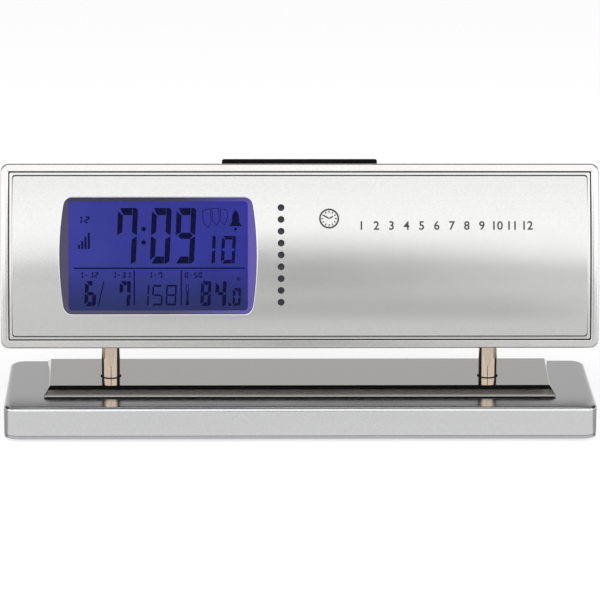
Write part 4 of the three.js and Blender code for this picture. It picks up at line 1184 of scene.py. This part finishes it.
def make_floor():
    """Pale floor with a little glow where it is seen directly, in metal or through glass."""
    corners = lying(-FLOOR_REACH, FLOOR_REACH, -FLOOR_REACH, FLOOR_REACH, 0)
    _, tree, bsdf = add_sheet("floor", corners, FLOOR_TONE)
    rays = tree.nodes.new("ShaderNodeLightPath")
    seen = rays.outputs["Is Camera Ray"]
    for kind in ("Is Glossy Ray", "Is Transmission Ray"):
        seen = combine(tree, "MAXIMUM", seen, rays.outputs[kind])
    glow = combine(tree, "MULTIPLY", seen, FLOOR_GLOW)
    fill(bsdf, {"Emission Color": WHITE, "Emission Strength": glow})


def make_sky():
    """Even soft light from all round, a little weaker overhead."""
    world = bpy.data.worlds.new("studio")
    world.use_nodes = True
    tree = world.node_tree
    fade = tree.nodes.new("ShaderNodeMapRange")
    height = coordinate(tree, "Generated", "Z")
    fill(fade, {"Value": height, "To Min": SKY_LEVEL, "To Max": SKY_TOP_LEVEL})
    fill(tree.nodes["Background"], {"Color": WHITE, "Strength": fade.outputs["Result"]})
    scene.world = world


def softbox(name, place, target, width, height, level_seen):
    """A rectangular lamp, as bright as level_seen where it is mirrored."""
    lamp = bpy.data.lights.new(name, "AREA")
    lamp.shape = "RECTANGLE"
    lamp.size = width
    lamp.size_y = height
    lamp.energy = level_seen * math.pi * width * height
    obj = new_object(name, lamp)
    obj.location = place
    obj.rotation_mode = "QUATERNION"
    obj.rotation_quaternion = (Vector(target) - Vector(place)).to_track_quat("-Z", "Y")
    obj.visible_camera = False


HEAD_CENTRE = (0, 0, 0.058)
KEY_DISTANCE = 1.55
KEY_LOW = math.radians(11)
KEY_HIGH = math.radians(82)
KEY_W = 3.2
KEY_LEVEL = 1.4
LOW_LEVEL = 0.42
LOW_Y = -1.86
LOW_H = 0.46
SIDE_X = 1.6
SIDE_Y = -0.75
SIDE_LOW = 0.03
SIDE_HIGH = 1.3
SIDE_L = 1.7
SIDE_LEVEL = 1.35
STAND_X = 0.03
STAND_Y = -1.42
STAND_FOOT_W = 0.1
STAND_TOP_W = 0.13
STAND_H = 0.5
STAND_TONE = 0.02
STAND_ALPHA = 0.9
HOOD_LOW = 0.3
HOOD_HIGH = 0.78
HOOD_LOW_W = 0.38
HOOD_HIGH_W = 0.04
HOOD_ALPHA = 0.52
MAT_X = 0.02
MAT_FRONT_Y = -0.14
MAT_W = 0.17
MAT_H = 0.002
MAT_TONE = 0.74
# Painted shade: grey sheets on the floor by the base's ends, mirrored in its upright corners
END_SHADE_TONE = 0.54
END_SHADE_X = 0.1015
END_SHADE_W = 0.05
END_SHADE_FRONT_Y = -0.026
END_SHADE_BACK_Y = 0.05
END_SHADE_H = 0.0004
FLAG_TONE = 0.08
FLAG_DISTANCE = 1.2
FLAG_NEAR = math.radians(94)
FLAG_FAR = math.radians(149)
FLAG_LOW = 0.22
FLAG_HIGH = 0.95


def make_lamps():
    """A wide soft lamp in front with a dimmer strip below it, and a soft wall at either side."""
    middle = (KEY_LOW + KEY_HIGH) / 2
    direction = Vector((0, -math.cos(middle), math.sin(middle)))
    place = Vector(HEAD_CENTRE) + direction * KEY_DISTANCE
    height = 2 * KEY_DISTANCE * math.tan((KEY_HIGH - KEY_LOW) / 2)
    softbox("key_lamp", place, HEAD_CENTRE, KEY_W, height, KEY_LEVEL)
    softbox("low_lamp", (0, LOW_Y, LOW_H / 2), (0, 0, LOW_H / 2), KEY_W, LOW_H, LOW_LEVEL)
    side_z = (SIDE_LOW + SIDE_HIGH) / 2
    for name, x in (("left_lamp", -SIDE_X), ("right_lamp", SIDE_X)):
        softbox(name, (x, SIDE_Y, side_z), (0, SIDE_Y, side_z), SIDE_L, SIDE_HIGH - SIDE_LOW, SIDE_LEVEL)


def add_card(name, corners, tone, alpha=1, casts_shadow=False):
    """A plain card out of the picture, which only the metal mirrors."""
    card, _, bsdf = add_sheet(name, corners, tone)
    fill(bsdf, {"Alpha": alpha})
    card.visible_camera = False
    card.visible_diffuse = False
    card.visible_shadow = casts_shadow


def upright_card(low_w, low_z, high_w, high_z):
    """Corners of a card that stands at the camera, facing the object."""
    rows = ((-low_w, low_z), (low_w, low_z), (high_w, high_z), (-high_w, high_z))
    return [(STAND_X + width / 2, STAND_Y, z) for width, z in rows]


def make_stand():
    """The dark stand of the camera with its thin hood, and the pale mat before it."""
    stand = upright_card(STAND_FOOT_W, 0, STAND_TOP_W, STAND_H)
    add_card("camera_stand", stand, STAND_TONE, STAND_ALPHA, casts_shadow=True)
    hood = upright_card(HOOD_LOW_W, HOOD_LOW, HOOD_HIGH_W, HOOD_HIGH)
    add_card("camera_hood", hood, STAND_TONE, HOOD_ALPHA, casts_shadow=True)
    left, right = MAT_X - MAT_W / 2, MAT_X + MAT_W / 2
    add_card("stand_mat", lying(left, right, STAND_Y, MAT_FRONT_Y, MAT_H), MAT_TONE)


def make_end_mats():
    """A grey sheet beside either end of the base, seen only in the metal: painted shade of the floor there, which
    darkens the base's upright corners.
    """
    for name, side in (("left_mat", -1), ("right_mat", 1)):
        inner, outer = side * END_SHADE_X, side * (END_SHADE_X + END_SHADE_W)
        add_card(name, lying(inner, outer, END_SHADE_FRONT_Y, END_SHADE_BACK_Y, END_SHADE_H), END_SHADE_TONE)


def make_flags():
    """A dark flag behind the clock on either side, for the dark edges of the round posts."""
    for name, side in (("left_flag", -1), ("right_flag", 1)):
        near, far = [
            (side * FLAG_DISTANCE * math.sin(angle), -FLAG_DISTANCE * math.cos(angle))
            for angle in (FLAG_NEAR, FLAG_FAR)
        ]
        corners = [(*near, FLAG_LOW), (*far, FLAG_LOW), (*far, FLAG_HIGH), (*near, FLAG_HIGH)]
        add_card(name, corners, FLAG_TONE)


def make_camera():
    """The photograph's view, through a long lens from a little above and to the left."""
    level_part = math.cos(CAMERA_ELEVATION)
    back = Vector((
        math.sin(CAMERA_AZIMUTH) * level_part,
        -math.cos(CAMERA_AZIMUTH) * level_part,
        math.sin(CAMERA_ELEVATION),
    ))
    lens = bpy.data.cameras.new("camera")
    lens.lens = CAMERA_LENS
    lens.clip_start, lens.clip_end = CAMERA_CLIP
    camera = new_object("camera", lens)
    camera.rotation_mode = "QUATERNION"
    straight = (-back).to_track_quat("-Z", "Y").to_matrix()
    camera.rotation_quaternion = (Matrix.Rotation(CAMERA_ROLL, 3, back) @ straight).to_quaternion()
    camera.location = CAMERA_TARGET + back * CAMERA_DISTANCE
    scene.camera = camera


dress_solids()
make_bezel()
make_face_plate()
make_face_line()
make_surround()
make_lens()
make_lcd_glass()
make_figures()
make_dial_sign()
make_hour_numbers()
make_snooze_cap()
make_base_case()
make_deck()
make_gasket()
make_posts()
make_refined()
make_floor()
make_sky()
make_lamps()
make_stand()
make_end_mats()
make_flags()
make_camera()
scene.view_settings.view_transform = "Standard"
